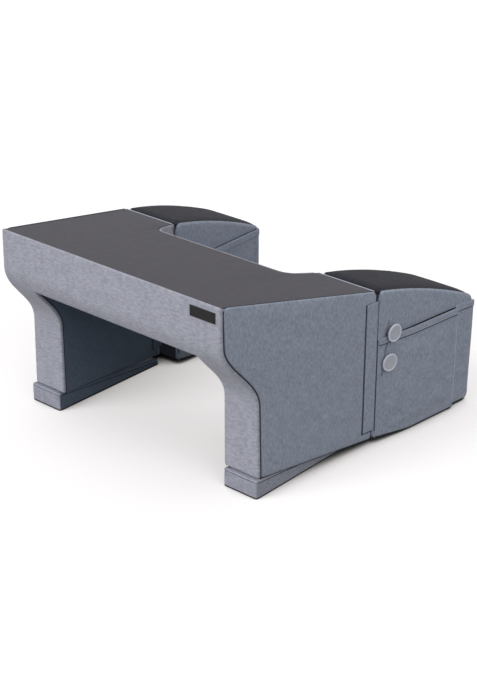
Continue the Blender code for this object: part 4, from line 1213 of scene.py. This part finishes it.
def sew_arm_base(label, side):
    """A dark non-slip slab that shows as a thin line under the cover."""
    near, far = ARM_FRONT + BASE_INSET, ARM_BACK - 0.006
    bend = ARM_FRONT + ARM_LIFT_LENGTH
    ys = np.unique(np.append(np.linspace(near, far, 20), bend))
    starts, widths = arm_inner_x(ys) + BASE_INSET, arm_outer_x(ys) - arm_inner_x(ys) - 2 * BASE_INSET
    zs = arm_bottom_z(ys) + BASE_SHOWS / 2 + 0.0002
    grid = np.array([np.stack([starts + widths * u, ys, zs], -1) for u in np.linspace(0, 1, 10)])
    return cut_sheet(label + "_armrest_grip", grid, BASE_SHOWS, (0, 0, -1), side)


# %% Threads along an armrest's seams
FRONT_EDGE = ARM_FRONT + 0.0036
PAD_THREAD, BACK_THREAD, EDGE_THREAD, UPPER_EDGE_THREAD = 0.0011, 0.0011, 0.0008, 0.0004


def thread_armrest(body, side, kind):
    """Round the pad, up the front edge beside the pocket and above it, and up the back."""
    face, out = (arm_outer_x, 1) if kind == "outer" else (arm_inner_x, -1)
    name = f"{body}_{kind}_"
    seam = [(face(y) - out * (PAD_SEAM - 0.0006), y, z)
            for y, z in arm_top_path(0.0006, ARM_FRONT + OPENING_DEPTH + 0.002)]
    lay_thread(name + "thread", seam, PAD_THREAD, side, body, slot="armrest_leatherette")
    flap_top = OUTER_FLAP_TOP if kind == "outer" else INNER_FLAP_TOP
    # Up the front edge the seam thread also paints the shade of the gap beside the flap; above the pocket's
    # mouth it is thin
    for part, low, high, radius in (("edge", FLAP_FOOT - 0.004, OUTER_MOUTH - 0.001, EDGE_THREAD),
                                    ("upper_edge", OUTER_MOUTH, flap_top, UPPER_EDGE_THREAD)):
        x = face(FRONT_EDGE) + out * (radius - 0.0001)
        edge = [(x, FRONT_EDGE, z) for z in np.linspace(low, high, 40)]
        lay_thread(f"{name}{part}_thread", edge, radius, side, body)
    corner, high = face(ARM_BACK) - out * (END_SEAM - 0.0004), arm_top_path()[-1][1]
    rise = [(corner, ARM_BACK - 0.0008, z) for z in np.linspace(BASE_SHOWS + 0.004, high, 30)]
    lay_thread(name + "back_thread", rise, BACK_THREAD, side, body)


for label, side in SIDES:
    body, prefix = label + "_armrest", label + "_armrest_"
    dress(sew_arm_side(label, side, True), body, SIDE_LINEN, "side_linen", prefix + "outer_panel")
    # The inner panel's darker linen is painted shade
    dress(sew_arm_side(label, side, False), body, INNER_LINEN, "side_linen", prefix + "inner_panel")
    dress(sew_arm_pad(label, side), body, ARM_LEATHERETTE, "armrest_leatherette", prefix + "top_skin")
    low, high = ARM_FRONT_LIFT + BASE_SHOWS, ARM_FRONT_TOP - 0.0066
    # The armrest's front panel takes the near-black linen, which paints the shade in the wedge of air behind
    # the desk
    front = sew_arm_end(label, side, ARM_FRONT, low, high, "front", 40 + side)
    dress(front, body, GAP_SHADE_LINEN, "front_linen", prefix + "front_panel")
    back = sew_arm_end(label, side, ARM_BACK, BASE_SHOWS, arm_top_path()[-1][1] - 0.0006, "back", 44 + side)
    dress(back, body, SIDE_LINEN, "side_linen", prefix + "back_panel")
    dress(sew_arm_base(label, side), body, ANTISLIP, "antislip", prefix + "base_panel")
    for kind in ("outer", "inner"):
        thread_armrest(body, side, kind)
print("armrests covered")

# %% [markdown]
# ## Pockets, hems and the closure
# A pocket is slack cloth sewn to the armrest along its foot and both ends. It stands off the side by
# under a centimetre, is folded over at its mouth, and is tacked down along a vertical line near its back.
# A hem is stitched over the mouth. On the outer pocket a thin cord winds round two covered buttons to
# close it.

# %% The hang of a pocket
BUTTON_RADIUS, LOWER_BUTTON = 0.0185, (ARM_FRONT + 0.0300, OUTER_MOUTH - 0.0530)
POCKET_CLOTH, HEM_CLOTH, HEM_HEIGHT = 0.0025, 0.0012, 0.011
POCKET_DEPTH, POCKET_FULL_FROM, CREASE_WIDTH = 0.0082, 0.115, 0.007
OUTER_CREASE, INNER_CREASE = 0.2215, 0.262
RIDGE_SWELL, RIDGE_WIDTH, BACK_CURL = 0.16, 0.007, 0.0026
POCKET_BELLY_HEIGHT, POCKET_FLOOR_MARGIN, POCKET_HEEL, POCKET_CURL = 0.005, 0.0030, 0.0020, 0.0016
POCKET_NEAR, POCKET_FAR, POCKET_CORNER = ARM_FRONT + 0.0052, ARM_BACK - 0.003, 0.012


def pocket_foot(y):
    """Height of the pocket's lower edge, rounded at its back corner."""
    over = np.clip((y - POCKET_FAR) / POCKET_CORNER + 1, 0, 1)
    return arm_bottom_z(y) + POCKET_FLOOR_MARGIN + POCKET_CORNER * (1 - np.sqrt(1 - over ** 2))


def pocket_gape(y, z, crease=OUTER_CREASE):
    """How far the pocket stands off the armrest, with a ridge along the crease and a curled front edge."""
    s = y - ARM_FRONT
    rise = smooth(s / POCKET_FULL_FROM) ** 0.7
    ridge = 1 + RIDGE_SWELL * np.exp(-((s - crease) / RIDGE_WIDTH) ** 2)
    fall = 1 - smooth((s - crease) / CREASE_WIDTH)
    foot = np.clip((z - pocket_foot(y)) / POCKET_BELLY_HEIGHT, 0, 1)
    heel = POCKET_HEEL * smooth((s - crease - 0.02) / 0.035) * smooth((z - 0.02) / 0.16)
    curl = POCKET_CURL * (1 - smooth((y - POCKET_NEAR) / 0.006))
    if crease != OUTER_CREASE:
        heel, curl = 0.0, curl + BACK_CURL * smooth((y - POCKET_FAR + 0.012) / 0.010)
    return POCKET_DEPTH * np.minimum(rise, fall) * ridge * np.sqrt(1 - (1 - foot) ** 2) + heel - curl


def pocket_grid(mouth, low=None, stand=POCKET_CLOTH / 2 + SEAT, outer=True, step=0.009):
    """Middle of the pocket's cloth from its foot, or from low, up to its mouth."""
    crease = OUTER_CREASE if outer else INNER_CREASE
    ridge, bend = ARM_FRONT + crease, POCKET_FAR - POCKET_CORNER
    stretches = [
        np.linspace(POCKET_NEAR, POCKET_NEAR + 0.006, 5),
        np.linspace(POCKET_NEAR + 0.012, ridge - 0.014, 24),
        np.linspace(ridge - 0.010, ridge + CREASE_WIDTH, 13),
        np.linspace(ridge + CREASE_WIDTH + 0.003, bend - 0.002, 4),
        POCKET_FAR - POCKET_CORNER * np.array([1.0, 0.75, 0.5, 0.3, 0.15, 0.05, 0.0]),
    ]
    ys = np.concatenate(stretches)
    face, out = (arm_outer_x, 1) if outer else (arm_inner_x, -1)
    grid = []
    for y in ys:
        fall = 0.0 if outer else MOUTH_FALL * max(0.0, (y - POCKET_FAR) / POCKET_CORNER + 1) ** 2
        if low is None:
            start = pocket_foot(y) + POCKET_BELLY_HEIGHT * np.array([0.0, 0.03, 0.12, 0.3, 0.6, 1.0, 1.6])
            zs = np.concatenate([start, np.linspace(start[-1], mouth - fall, round(mouth / step))[1:]])
        else:
            zs = np.linspace(low, mouth, max(3, round((mouth - low) / step) + 1)) - fall
        grid.append([(face(y) + out * (stand + pocket_gape(y, z, crease)), y, z) for z in zs])
    return np.array(grid)


def hang_pocket(mouth, outer):
    """Let the pocket's belly settle. Its foot, ends, mouth and the place under the button stay."""
    grid = pocket_grid(mouth, outer=outer)
    y, z = grid[..., 1], grid[..., 2]
    ridge = ARM_FRONT + (OUTER_CREASE if outer else INNER_CREASE)
    loose = smooth((y - POCKET_NEAR - 0.012) / 0.03) * smooth((ridge - 0.012 - y) / 0.02)
    loose = loose * smooth((z - 0.014) / 0.02) * smooth((mouth - HEM_HEIGHT - 0.006 - z) / 0.02)
    if outer:
        from_button = np.hypot(y - LOWER_BUTTON[0], z - LOWER_BUTTON[1])
        loose = loose * smooth((from_button - BUTTON_RADIUS - 0.002) / 0.02)
    return settle(grid, loose, slack=0.012, weight=0.25, limit=0.0030)


# %% Sew the pockets on, with their hems and stitches, and painted shade and highlight: dark tubes under the hem and along the foot, a pale tube on the crease and a dark sheet inside the mouth
HEM_SHADOW, POCKET_SHADOW_BLACK, RIDGE_HIGHLIGHT, SHADE_SHEET_STAND, SHADE_SHEET_CLOTH = 0.0011, 0.0016, 0.0010, 0.0024, 0.0005
STITCHES_UP, SHADE_SHEET_DEPTH = 0.0024, 0.030


def sew_pocket(body, side, kind, mouth):
    outer, name = kind == "outer", f"{body}_{kind}_pocket"
    face, out = (arm_outer_x, 1) if outer else (arm_inner_x, -1)
    way, cloth = (out, 0, 0), SIDE_LINEN if outer else INNER_LINEN
    ridge_y = ARM_FRONT + (OUTER_CREASE if outer else INNER_CREASE)
    hung = hang_pocket(mouth, outer)
    pocket = cut_sheet(name + "_cloth", hung, POCKET_CLOTH - 0.0002, way, side)
    dress(pocket, body, cloth, "side_linen", name)
    stand = POCKET_CLOTH + 2 * SEAT + HEM_CLOTH / 2
    hem = cut_sheet(name + "_border", pocket_grid(mouth, mouth - HEM_HEIGHT, stand, outer, 0.0028), HEM_CLOTH,
                    way, side)
    dress(hem, body, cloth, "side_linen", name + "_hem")
    # A tube under the hem paints its shadow, in dark thread on the outer pocket and in the darker inner linen
    # on the inner one
    line = pocket_grid(mouth, mouth - HEM_HEIGHT - 0.0017, POCKET_CLOTH + SEAT, outer)[2:-1, 0]
    thread = lay_thread(name + "_thread", line, HEM_SHADOW, side, body, SEAM_AND_SHADE if outer else INNER_LINEN)
    # A near-black tube along the foot paints the contact shadow under the pocket
    foot = pocket_grid(mouth, stand=POCKET_CLOTH + SEAT, outer=outer)[1:-6, 3]
    binding = lay_thread(name + "_binding", foot, POCKET_SHADOW_BLACK, side, body, SHADOW_BLACK)
    # A pale tube on the crease paints the highlight on its ridge
    crease, zs = ridge_y - ARM_FRONT, np.linspace(0.016, mouth - HEM_HEIGHT - 0.003, 40)
    fold = [(face(ridge_y) + out * (SEAT + POCKET_CLOTH + pocket_gape(ridge_y, z, crease)), ridge_y, z)
            for z in zs]
    ridge = lay_thread(name + "_fold", fold, RIDGE_HIGHLIGHT, side, body, THREAD_AND_HIGHLIGHT)
    # A sheet inside the mouth paints the shade in the pocket: near black in the outer pocket, shade linen in
    # the inner one
    ys = np.linspace(ARM_FRONT + 0.040, ridge_y + 0.001, 20)
    zs = np.linspace(mouth - SHADE_SHEET_DEPTH, mouth - 0.0006, 8)
    behind = np.array([[(face(y) + out * SHADE_SHEET_STAND, y, z) for z in zs] for y in ys])
    shade_sheet = cut_sheet(name + "_lining", behind, SHADE_SHEET_CLOTH, way, side)
    dress(shade_sheet, body, SHADOW_BLACK if outer else SHADE_LINEN, "side_linen")
    row = pocket_grid(mouth, mouth - HEM_HEIGHT + STITCHES_UP, stand + HEM_CLOTH / 2, outer)[2:-2, 0]
    sewn = stitches(name + "_stitches", row, np.tile(way, (len(row), 1)), side=side)
    dress(sewn, body, THREAD_AND_HIGHLIGHT, "side_linen")
    flat_size(hung)


for label, side in SIDES:
    sew_pocket(label + "_armrest", side, "outer", OUTER_MOUTH)
    sew_pocket(label + "_armrest", side, "inner", INNER_MOUTH)
print("pockets sewn on")

# %% Where the buttons and the cord lie
BUTTON_THICKNESS, BUTTON_RIM, BUTTON_DISH, BUTTON_CROWN = 0.0036, 0.0022, 0.0013, 0.0009
SHANK_RADIUS, SHANK_LENGTH = 0.004, 0.0036
UPPER_BUTTON = (ARM_FRONT + 0.0395, OUTER_MOUTH + 0.0065)
CORD_RADIUS, CORD_OFFSET, CORD_LEAN, CORD_TAIL, CORD_EASE = 0.0011, 0.0115, 0.004, 0.007, 0.010


def pocket_face_x(y, z):
    return arm_outer_x(y) + SEAT + pocket_gape(y, z) + POCKET_CLOTH


def hem_face_x(y):
    return pocket_face_x(y, OUTER_MOUTH) + SEAT + HEM_CLOTH


def cord_x(y, z):
    hem = hem_face_x(y)
    above = smooth((z - OUTER_MOUTH) / CORD_EASE)
    below = smooth((OUTER_MOUTH - HEM_HEIGHT - z) / CORD_EASE)
    return hem + (arm_outer_x(y) - hem) * above + (pocket_face_x(y, z) - hem) * below + 2 * SEAT + CORD_RADIUS


def cord_line():
    end = BUTTON_RADIUS + CORD_TAIL
    route = (
        (UPPER_BUTTON[0] - CORD_OFFSET + CORD_LEAN, UPPER_BUTTON[1] + end),
        (UPPER_BUTTON[0] - CORD_OFFSET, UPPER_BUTTON[1]),
        (LOWER_BUTTON[0] - CORD_OFFSET + CORD_LEAN / 2, LOWER_BUTTON[1] + BUTTON_RADIUS),
        (LOWER_BUTTON[0] - CORD_OFFSET, LOWER_BUTTON[1]),
        (LOWER_BUTTON[0] - CORD_OFFSET - CORD_LEAN, LOWER_BUTTON[1] - end),
    )
    places = []
    for (y0, z0), (y1, z1) in zip(route, route[1:]):
        for part in np.linspace(0, 1, 9)[:-1]:
            places.append((y0 + (y1 - y0) * smooth(part), z0 + (z1 - z0) * part))
    places.append(route[-1])
    return np.array([(cord_x(y, z), y, z) for y, z in places])


# %% Covered buttons
def button_profile(shank):
    """A cloth-covered disc on a shank: radius and height from the back to the front."""
    well, front = BUTTON_RADIUS - BUTTON_RIM, shank + BUTTON_THICKNESS - BUTTON_DISH
    profile = [(0.0, 0.0), (SHANK_RADIUS * 0.98, 0.0), (SHANK_RADIUS, shank * 0.5), (SHANK_RADIUS, shank)]
    profile += [(well, shank), (well + 0.0008, shank + 0.0005), (well + 0.0008, front - 0.0004)]
    profile += [(well * k, front + BUTTON_CROWN * (1 - k * k)) for k in (0.96, 0.8, 0.6, 0.4, 0.2)]
    return profile + [(0.0, front + BUTTON_CROWN)]


def make_button(name, face_x, place, shank, side):
    """The covered disc and the tube round its rim."""
    y, z = place
    step = SHANK_RADIUS
    lean = (face_x(y + step) - face_x(y - step)) / (2 * step)
    normal = unit(np.array([1.0, -lean, 0.0]))
    centre = np.array([face_x(y), y, z]) + normal * SEAT
    across = unit(np.cross(normal, (0, 0, 1)))
    up = np.cross(across, normal)
    ring = centre + normal * (shank + BUTTON_THICKNESS - BUTTON_RIM)
    turn = np.linspace(0, 2 * math.pi, 49)[:-1, None]
    rim = ring + (BUTTON_RADIUS - BUTTON_RIM) * (across * np.cos(turn) + up * np.sin(turn))
    disc = turned(name, button_profile(shank), centre, normal, side)
    return disc, tube(name + "_rim", rim, BUTTON_RIM, side, closed=True)


def lower_face_x(y):
    return pocket_face_x(y, LOWER_BUTTON[1])


UPPER_FAR_EDGE = UPPER_BUTTON[0] + BUTTON_RADIUS
UPPER_SHANK = hem_face_x(UPPER_FAR_EDGE) - arm_outer_x(UPPER_FAR_EDGE)
for label, side in SIDES:
    body, prefix = label + "_armrest", label + "_armrest_"
    upper = make_button(prefix + "upper_cover_button", arm_outer_x, UPPER_BUTTON, UPPER_SHANK, side)
    dress(upper[0], body, BUTTON_LINEN, "button_linen", prefix + "upper_button")
    lower = make_button(prefix + "lower_cover_button", lower_face_x, LOWER_BUTTON, SHANK_LENGTH, side)
    dress(lower[0], body, BUTTON_LINEN, "button_linen", prefix + "lower_button")
    # Each rim's paler linen paints its highlight
    for button in (upper, lower):
        dress(button[1], body, RIM_HIGHLIGHT_LINEN, "button_linen")
    cord = tube(prefix + "braided_cord", cord_line(), CORD_RADIUS, side, around=12)
    dress(cord, body, BRAID, "cord", prefix + "closure_cord")
print("cord", round(length_of(cord_line()) * 1000), "mm")

# %% [markdown]
# ## Flaps and hook tape
# The flaps are stiff doubled cloth with a stitched edge. They lie over strips of hook tape on the legs
# and hold the armrests to the desk. A thread on each armrest fills the outer flap's hinge line, so no
# light shows through when the flap is open.

# %% Flaps
STITCH_INSET, FLAP_PIPING, HINGE_THREAD = 0.11, 0.0015, 0.0016
HINGE_ROOT = np.array([-0.0008, 0.00125, 0.0])


def outer_flap_face(y):
    return side_x(y) + SEAT + HOOK_TAPE_THICKNESS + SEAT


def inner_flap_face(y):
    tape = BACK - HOOK_MARGIN
    return leg_inner_x(tape) - SEAT - HOOK_TAPE_THICKNESS - SEAT + SIDE_SPLAY * (y - tape)


def flap_grid(face_x, out, top):
    half = FLAP_CLOTH / 2
    start = np.array([face_x(FLAP_AXIS) + out * half, FLAP_AXIS])
    way = unit(np.array([SIDE_SPLAY, 1.0]))
    reach_of = FLAP_WIDTH - 2 * half
    zs = np.linspace(FLAP_FOOT + half, top - half, 60)
    grid = []
    for part in np.linspace(0, 1, 9):
        x, y = start - way * reach_of * part
        grid.append([(x, y, z) for z in zs])
    return np.array(grid)


def lay_tape(name, kind, wall, out, top, side):
    """The strip of hook tape that a flap covers, with the leg's cloth under it."""
    ys = np.linspace(FLAP_AXIS - FLAP_WIDTH + HOOK_MARGIN, BACK - HOOK_MARGIN, 7)
    zs = np.linspace(FLAP_FOOT + HOOK_MARGIN, top - HOOK_MARGIN, 40)
    middle = SEAT + HOOK_TAPE_THICKNESS / 2
    grid = np.array([[(wall(y) + out * middle, y, z) for z in zs] for y in ys])
    tape = cut_sheet(name + "_hooks", grid, HOOK_TAPE_THICKNESS, (out, 0, 0), side)
    dress(tape, "desk", HOOK_TAPE, "hook_tape", name + "_hook_tape")
    label = "left" if side < 0 else "right"
    leg = f"{label}_side_cloth" if kind == "outer" else f"{label}_inner_leg_cloth"
    flat_size(grid)
    return tape, leg


for label, side in SIDES:
    for kind, face_x, out, wall, top in (("outer", outer_flap_face, 1, side_x, OUTER_FLAP_TOP),
                                         ("inner", inner_flap_face, -1, leg_inner_x, INNER_FLAP_TOP)):
        name = f"{label}_{kind}_flap"
        cut = flap_grid(face_x, out, top)
        flap = cut_sheet(name + "_cloth", cut, FLAP_CLOTH, (out, 0, 0), side)
        # The inner flaps and their stitches take the shade linen, which paints their shade
        dress(flap, name, SIDE_LINEN if kind == "outer" else SHADE_LINEN, "side_linen", name)
        edge, width = cut[-1, 2:-2], cut[0, 2:-2] - cut[-1, 2:-2]
        row = edge + width * STITCH_INSET + np.array([out * FLAP_CLOTH / 2, 0, 0])
        sewn = stitches(name + "_stitches", row, np.tile((out, 0.0, 0.0), (len(row), 1)), side=side)
        dress(sewn, name, THREAD_AND_HIGHLIGHT if kind == "outer" else SHADE_LINEN, "side_linen")
        hinge_x, zs = face_x(FLAP_AXIS) + out * 0.0004, np.linspace(FLAP_FOOT + 0.002, top - 0.002, 40)
        hinge = np.array([(hinge_x, FLAP_AXIS + 0.0006, z) for z in zs])
        edge_tube = lay_thread(name + "_piping", hinge, FLAP_PIPING, side, name, SIDE_LINEN)
        if kind == "outer":
            arm = label + "_armrest"
            lay_thread(arm + "_hinge_thread", hinge + HINGE_ROOT, HINGE_THREAD, side, arm)
        tape, leg = lay_tape(f"{label}_{kind}", kind, wall, out, top, side)
        flat_size(cut)
print("flaps and tapes on")

# %% [markdown]
# ## Risers, label and what lies inside
# A riser is a loose foam wedge in its own cover: a band round four sides, a top panel and a dark thread in
# the seam between them. Its side towards the lap is painted with shade, and near-black tubes round its foot
# paint the contact shadow.

# %% Riser wedges
RISER_CORNER, LID_EDGE, BAND_FOOT, LID_GAP = 0.004, 0.0034, 0.0018, 0.0012
FOOT_INSET, LID_GROOVE, PLAN_RADIUS = 0.0008, 0.0009, 0.0034
BAND_LENGTH, LID_WIDTH, LID_LENGTH = 0.03, 0.081, 0.286
FOOT_SHADOW_BLACK, INNER_FOOT_SHADOW_BLACK, LID_THREAD = 0.0014, 0.0024, 0.0013


def riser_plan(inset, radius, steps=6):
    """Closed plan with rounded corners, starting at the inner back corner."""
    x0, x1, y0, y1 = RISER_INNER + inset, RISER_OUTER - inset, RISER_FRONT + inset, RISER_BACK - inset
    points = []
    for cx, cy, start in ((x0 + radius, y1 - radius, 90), (x0 + radius, y0 + radius, 180),
                          (x1 - radius, y0 + radius, 270), (x1 - radius, y1 - radius, 0)):
        for part in np.linspace(0, 90, steps):
            angle = math.radians(start + part)
            points.append((cx + radius * math.cos(angle), cy + radius * math.sin(angle)))
    return points


def round_riser(inset, height_of):
    """A closed line round the riser at a height that follows y."""
    plan = riser_plan(inset, PLAN_RADIUS)
    return np.array([(x, y, height_of(y)) for x, y in along(plan + plan[:1], np.linspace(0, 1, 160))[:-1]])


def shade_inner_side(piece, reach, start):
    """The side of a riser that faces the lap takes the shade linen, which paints its shade."""
    piece.data.materials.append(SHADE_LINEN)
    for face in piece.data.polygons:
        corners = [piece.data.vertices[k].co for k in face.vertices]
        inside = max(abs(c.x) for c in corners) < RISER_INNER + reach
        if inside and min(c.y for c in corners) > RISER_FRONT + start:
            face.material_index = 1


def sew_band(name, side):
    """The strip of cloth round the four sides of the wedge."""
    plan = np.array(riser_plan(0.0, RISER_CORNER))
    ring = np.concatenate([plan[3:], plan[:4]])
    across = np.unique(np.concatenate([np.linspace(0, 1, 70), run_along(ring) / length_of(ring)]))
    upward = stops(BAND_LENGTH, 0.002, 0.0012, 0.008)
    heights = [riser_z(y) - LID_EDGE - LID_GAP - BAND_FOOT for _, y in along(ring, across)]
    grid = np.array([[(x, y, BAND_FOOT + height * v) for v in upward]
                     for (x, y), height in zip(along(ring, across), heights)])
    roll = {"left": 0.0006, "right": 0.0006, "bottom": 0.002, "top": 0.0012}
    return sew(name + "_band", grid, (0, 0, 0), roll=roll, corner={"other": 0.0008}, crown=0.0006, soft=0.01,
               ripple=0.0002, pucker=0, side=side, seed=50 + side, hem=0.002)


def sew_lid(name, side):
    """The slanted panel on top, a little smaller than the band."""
    xs = RISER_INNER + (RISER_OUTER - RISER_INNER) * stops(LID_WIDTH, LID_EDGE, LID_EDGE, 0.01)
    ys = RISER_FRONT + (RISER_BACK - RISER_FRONT) * stops(LID_LENGTH, LID_EDGE, LID_EDGE, 0.014)
    grid = np.array([[(x, y, riser_z(y)) for y in ys] for x in xs])
    return sew(name + "_top_cloth", grid, (0, 0, 1), roll=LID_EDGE, corner={"other": RISER_CORNER},
               crown=-0.0003, ripple=0.0001, pucker=0, tuck=0.0006, wrap=0.0002, side=side, seed=54)


for label, side in SIDES:
    name = label + "_riser"
    # The riser's darker linen is painted shade
    band = dress(sew_band(name, side), name, RISER_LINEN, "front_linen", name + "_cover")
    # The side towards the lap takes the shade linen, which paints its shade
    shade_inner_side(band, 0.004, 0.0012)
    # Near-black tubes round the foot, thicker on the inner side, paint the contact shadow
    foot = round_riser(FOOT_INSET, lambda y: 0.0015)
    lay_thread(name + "_binding", foot, FOOT_SHADOW_BLACK, side, name, SHADOW_BLACK, "front_linen", closed=True)
    ys = np.linspace(RISER_FRONT + 0.03, RISER_BACK - 0.006, 30)
    line = [(RISER_INNER + 0.0018, y, 0.0026) for y in ys]
    lay_thread(name + "_inner_binding", line, INNER_FOOT_SHADOW_BLACK, side, name, SHADOW_BLACK, "front_linen")
    lid = dress(sew_lid(name, side), name, RISER_LINEN, "front_linen")
    shade_inner_side(lid, 0.016, 0.005)
    groove = round_riser(LID_GROOVE, lambda y: riser_z(y) - LID_EDGE - LID_GROOVE)
    lay_thread(name + "_thread", groove, LID_THREAD, side, name, slot="front_linen", closed=True)
print("risers covered")

# %% The bare label
LABEL_WIDTH, LABEL_HEIGHT, LABEL_THICKNESS, LABEL_STAND = 0.0585, 0.0205, 0.0008, 0.0012
LABEL_RIGHT, LABEL_TOP = FRONT_HALF_WIDTH - 0.011, TOP_FRONT_HEIGHT - 0.0115
xs = np.linspace(LABEL_RIGHT - LABEL_WIDTH, LABEL_RIGHT, 25)
zs = np.linspace(LABEL_TOP - LABEL_HEIGHT, LABEL_TOP, 11)
label_grid = np.array([[(x, FRONT - SEAT - LABEL_STAND, z) for z in zs] for x in xs])
tag = cut_sheet("apron_label_cloth", label_grid, LABEL_THICKNESS, (0, -1, 0))
dress(tag, "desk", LABEL_CLOTH, "label_cloth", "apron_label")
flat_size(label_grid)

# %% Foam blocks keep the solids' shape, apart from soft edges and two slices off each armrest's block
FRONT_SLICE = ((ARM_FRONT + 0.0015, ARM_FRONT_TOP - OPENING_HEIGHT - 0.004),
               (ARM_FRONT + OPENING_DEPTH + 0.0050, ARM_FRONT_TOP))
HEEL_SLICE = ((ARM_BACK, 0.012), (ARM_BACK - 0.012, 0.0))
SOFT_EDGE = 0.0015


def slice_edge(block, first, last):
    """Slice an edge off a foam block along a plane through two (y, z) places; what lies left of it goes."""
    shape = bmesh.new()
    shape.from_mesh(block.data)
    away = Vector((0, first[1] - last[1], last[0] - first[0])).normalized()
    every = shape.verts[:] + shape.edges[:] + shape.faces[:]
    cut = bmesh.ops.bisect_plane(shape, geom=every, plane_co=(0, *first), plane_no=away, clear_outer=True)
    rim = [piece for piece in cut["geom_cut"] if isinstance(piece, bmesh.types.BMEdge)]
    bmesh.ops.holes_fill(shape, edges=rim)
    shape.to_mesh(block.data)
    shape.free()


for node in sorted(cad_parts):
    if node.endswith(("foam_core", "riser_foam", "riser_sole")):
        block = bpy.data.objects.new(node.replace("_core", "") + "_block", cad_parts[node].data.copy())
        bpy.context.scene.collection.objects.link(block)
        if node.endswith("armrest_foam_core"):
            slice_edge(block, *FRONT_SLICE)
            slice_edge(block, *HEEL_SLICE)
        soften = block.modifiers.new("soft_edges", "BEVEL")
        soften.width, soften.segments, soften.limit_method = SOFT_EDGE, 3, "ANGLE"
        soften.angle_limit = math.radians(30)
        body = node.removesuffix("_foam_core").removesuffix("_foam").removesuffix("_sole")
        if node.endswith("sole"):
            dress(block, body, ANTISLIP, "antislip", node)
        else:
            dress(block, body, FOAM, "foam", node)
board = bpy.data.objects[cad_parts["desk_top_board"].name]
board.data.materials.clear()
board.data.materials.append(PLYWOOD)
print("foam, soles and board in place;", len(SEWN), "sewn panels")

# %% [markdown]
# ## Floor and light
# A wide pale floor and plain studio light. To the camera the floor is paper with a glow of its own, which
# throws no light on the desk. It reads as white, and the desk's shadow stays on it as a soft warm grey.

# %% Floor
FLOOR_REACH, SHADE_REACH = 30.0, 0.06
BOUNCE, PAPER, SHADE = (0.25, 0.25, 0.25, 1.0), (0.66, 0.66, 0.67, 1.0), (0.03, 0.03, 0.03, 1.0)
PAPER_GLOW = (0.419, 0.398, 0.388, 1.0)
floor_mesh = bpy.data.meshes.new("floor")
turns = ((-1, -1), (1, -1), (1, 1), (-1, 1))
floor_mesh.from_pydata([(x * FLOOR_REACH, y * FLOOR_REACH, 0) for x, y in turns], [], [(0, 1, 2, 3)])
floor = bpy.data.objects.new("floor", floor_mesh)
bpy.context.scene.collection.objects.link(floor)
paper = bpy.data.materials.new("paper")
paper.use_nodes = True
tree = paper.node_tree
tree.nodes.remove(tree.nodes["Principled BSDF"])
plain = add(tree, "ShaderNodeBsdfDiffuse", {"Color": BOUNCE})
bright = add(tree, "ShaderNodeBsdfDiffuse", {"Color": PAPER})
glow = add(tree, "ShaderNodeEmission", {"Color": PAPER_GLOW, "Strength": 1.0})
both = add(tree, "ShaderNodeAddShader", {0: bright.outputs[0], 1: glow.outputs[0]})
# Where something stands close above the paper, the shadow turns nearly black
nearby = add(tree, "ShaderNodeAmbientOcclusion", {"Distance": SHADE_REACH}, samples=8)
clear = add(tree, "ShaderNodeMapRange", {"Value": nearby.outputs["AO"], "From Min": 0.2, "From Max": 0.62})
dark = add(tree, "ShaderNodeBsdfDiffuse", {"Color": SHADE})
both = add(tree, "ShaderNodeMixShader", {0: clear.outputs[0], 1: dark.outputs[0], 2: both.outputs[0]})
seen = add(tree, "ShaderNodeLightPath").outputs["Is Camera Ray"]
pick = add(tree, "ShaderNodeMixShader", {0: seen, 1: plain.outputs[0], 2: both.outputs[0]})
tree.links.new(pick.outputs[0], tree.nodes["Material Output"].inputs["Surface"])
floor_mesh.materials.append(paper)

# %% Light
world = bpy.data.worlds.new("studio")
bpy.context.scene.world = world
world.use_nodes = True
tree = world.node_tree
AMBIENT, WHITE = 0.36, (1.0, 1.0, 1.0, 1.0)
soft = add(tree, "ShaderNodeBackground", {"Color": WHITE, "Strength": AMBIENT})
white = add(tree, "ShaderNodeBackground", {"Color": WHITE, "Strength": 1.0})
seen = add(tree, "ShaderNodeLightPath")
shown = reckon(tree, "MAXIMUM", seen.outputs["Is Camera Ray"], seen.outputs["Is Glossy Ray"])
shown = reckon(tree, "MAXIMUM", shown, seen.outputs["Is Transmission Ray"])
pick = add(tree, "ShaderNodeMixShader", {0: shown, 1: soft.outputs[0], 2: white.outputs[0]})
tree.links.new(pick.outputs[0], tree.nodes["World Output"].inputs["Surface"])


def soft_sun(name, way, level, spread_degrees):
    """Even light from one direction; level is what a white card that faces it would show."""
    lamp = bpy.data.lights.new(name, "SUN")
    lamp.energy = level * math.pi
    lamp.angle = math.radians(spread_degrees)
    holder = bpy.data.objects.new(name, lamp)
    holder.rotation_euler = (-Vector(way)).to_track_quat("-Z", "Y").to_euler()
    bpy.context.scene.collection.objects.link(holder)


soft_sun("key", (-0.38, -0.85, 0.36), 0.78, 40)
soft_sun("fill", (0.80, -0.30, 0.52), 0.34, 50)
soft_sun("sky", (0.0, 0.10, 1.0), 0.22, 60)
bpy.context.scene.view_settings.view_transform = "Standard"
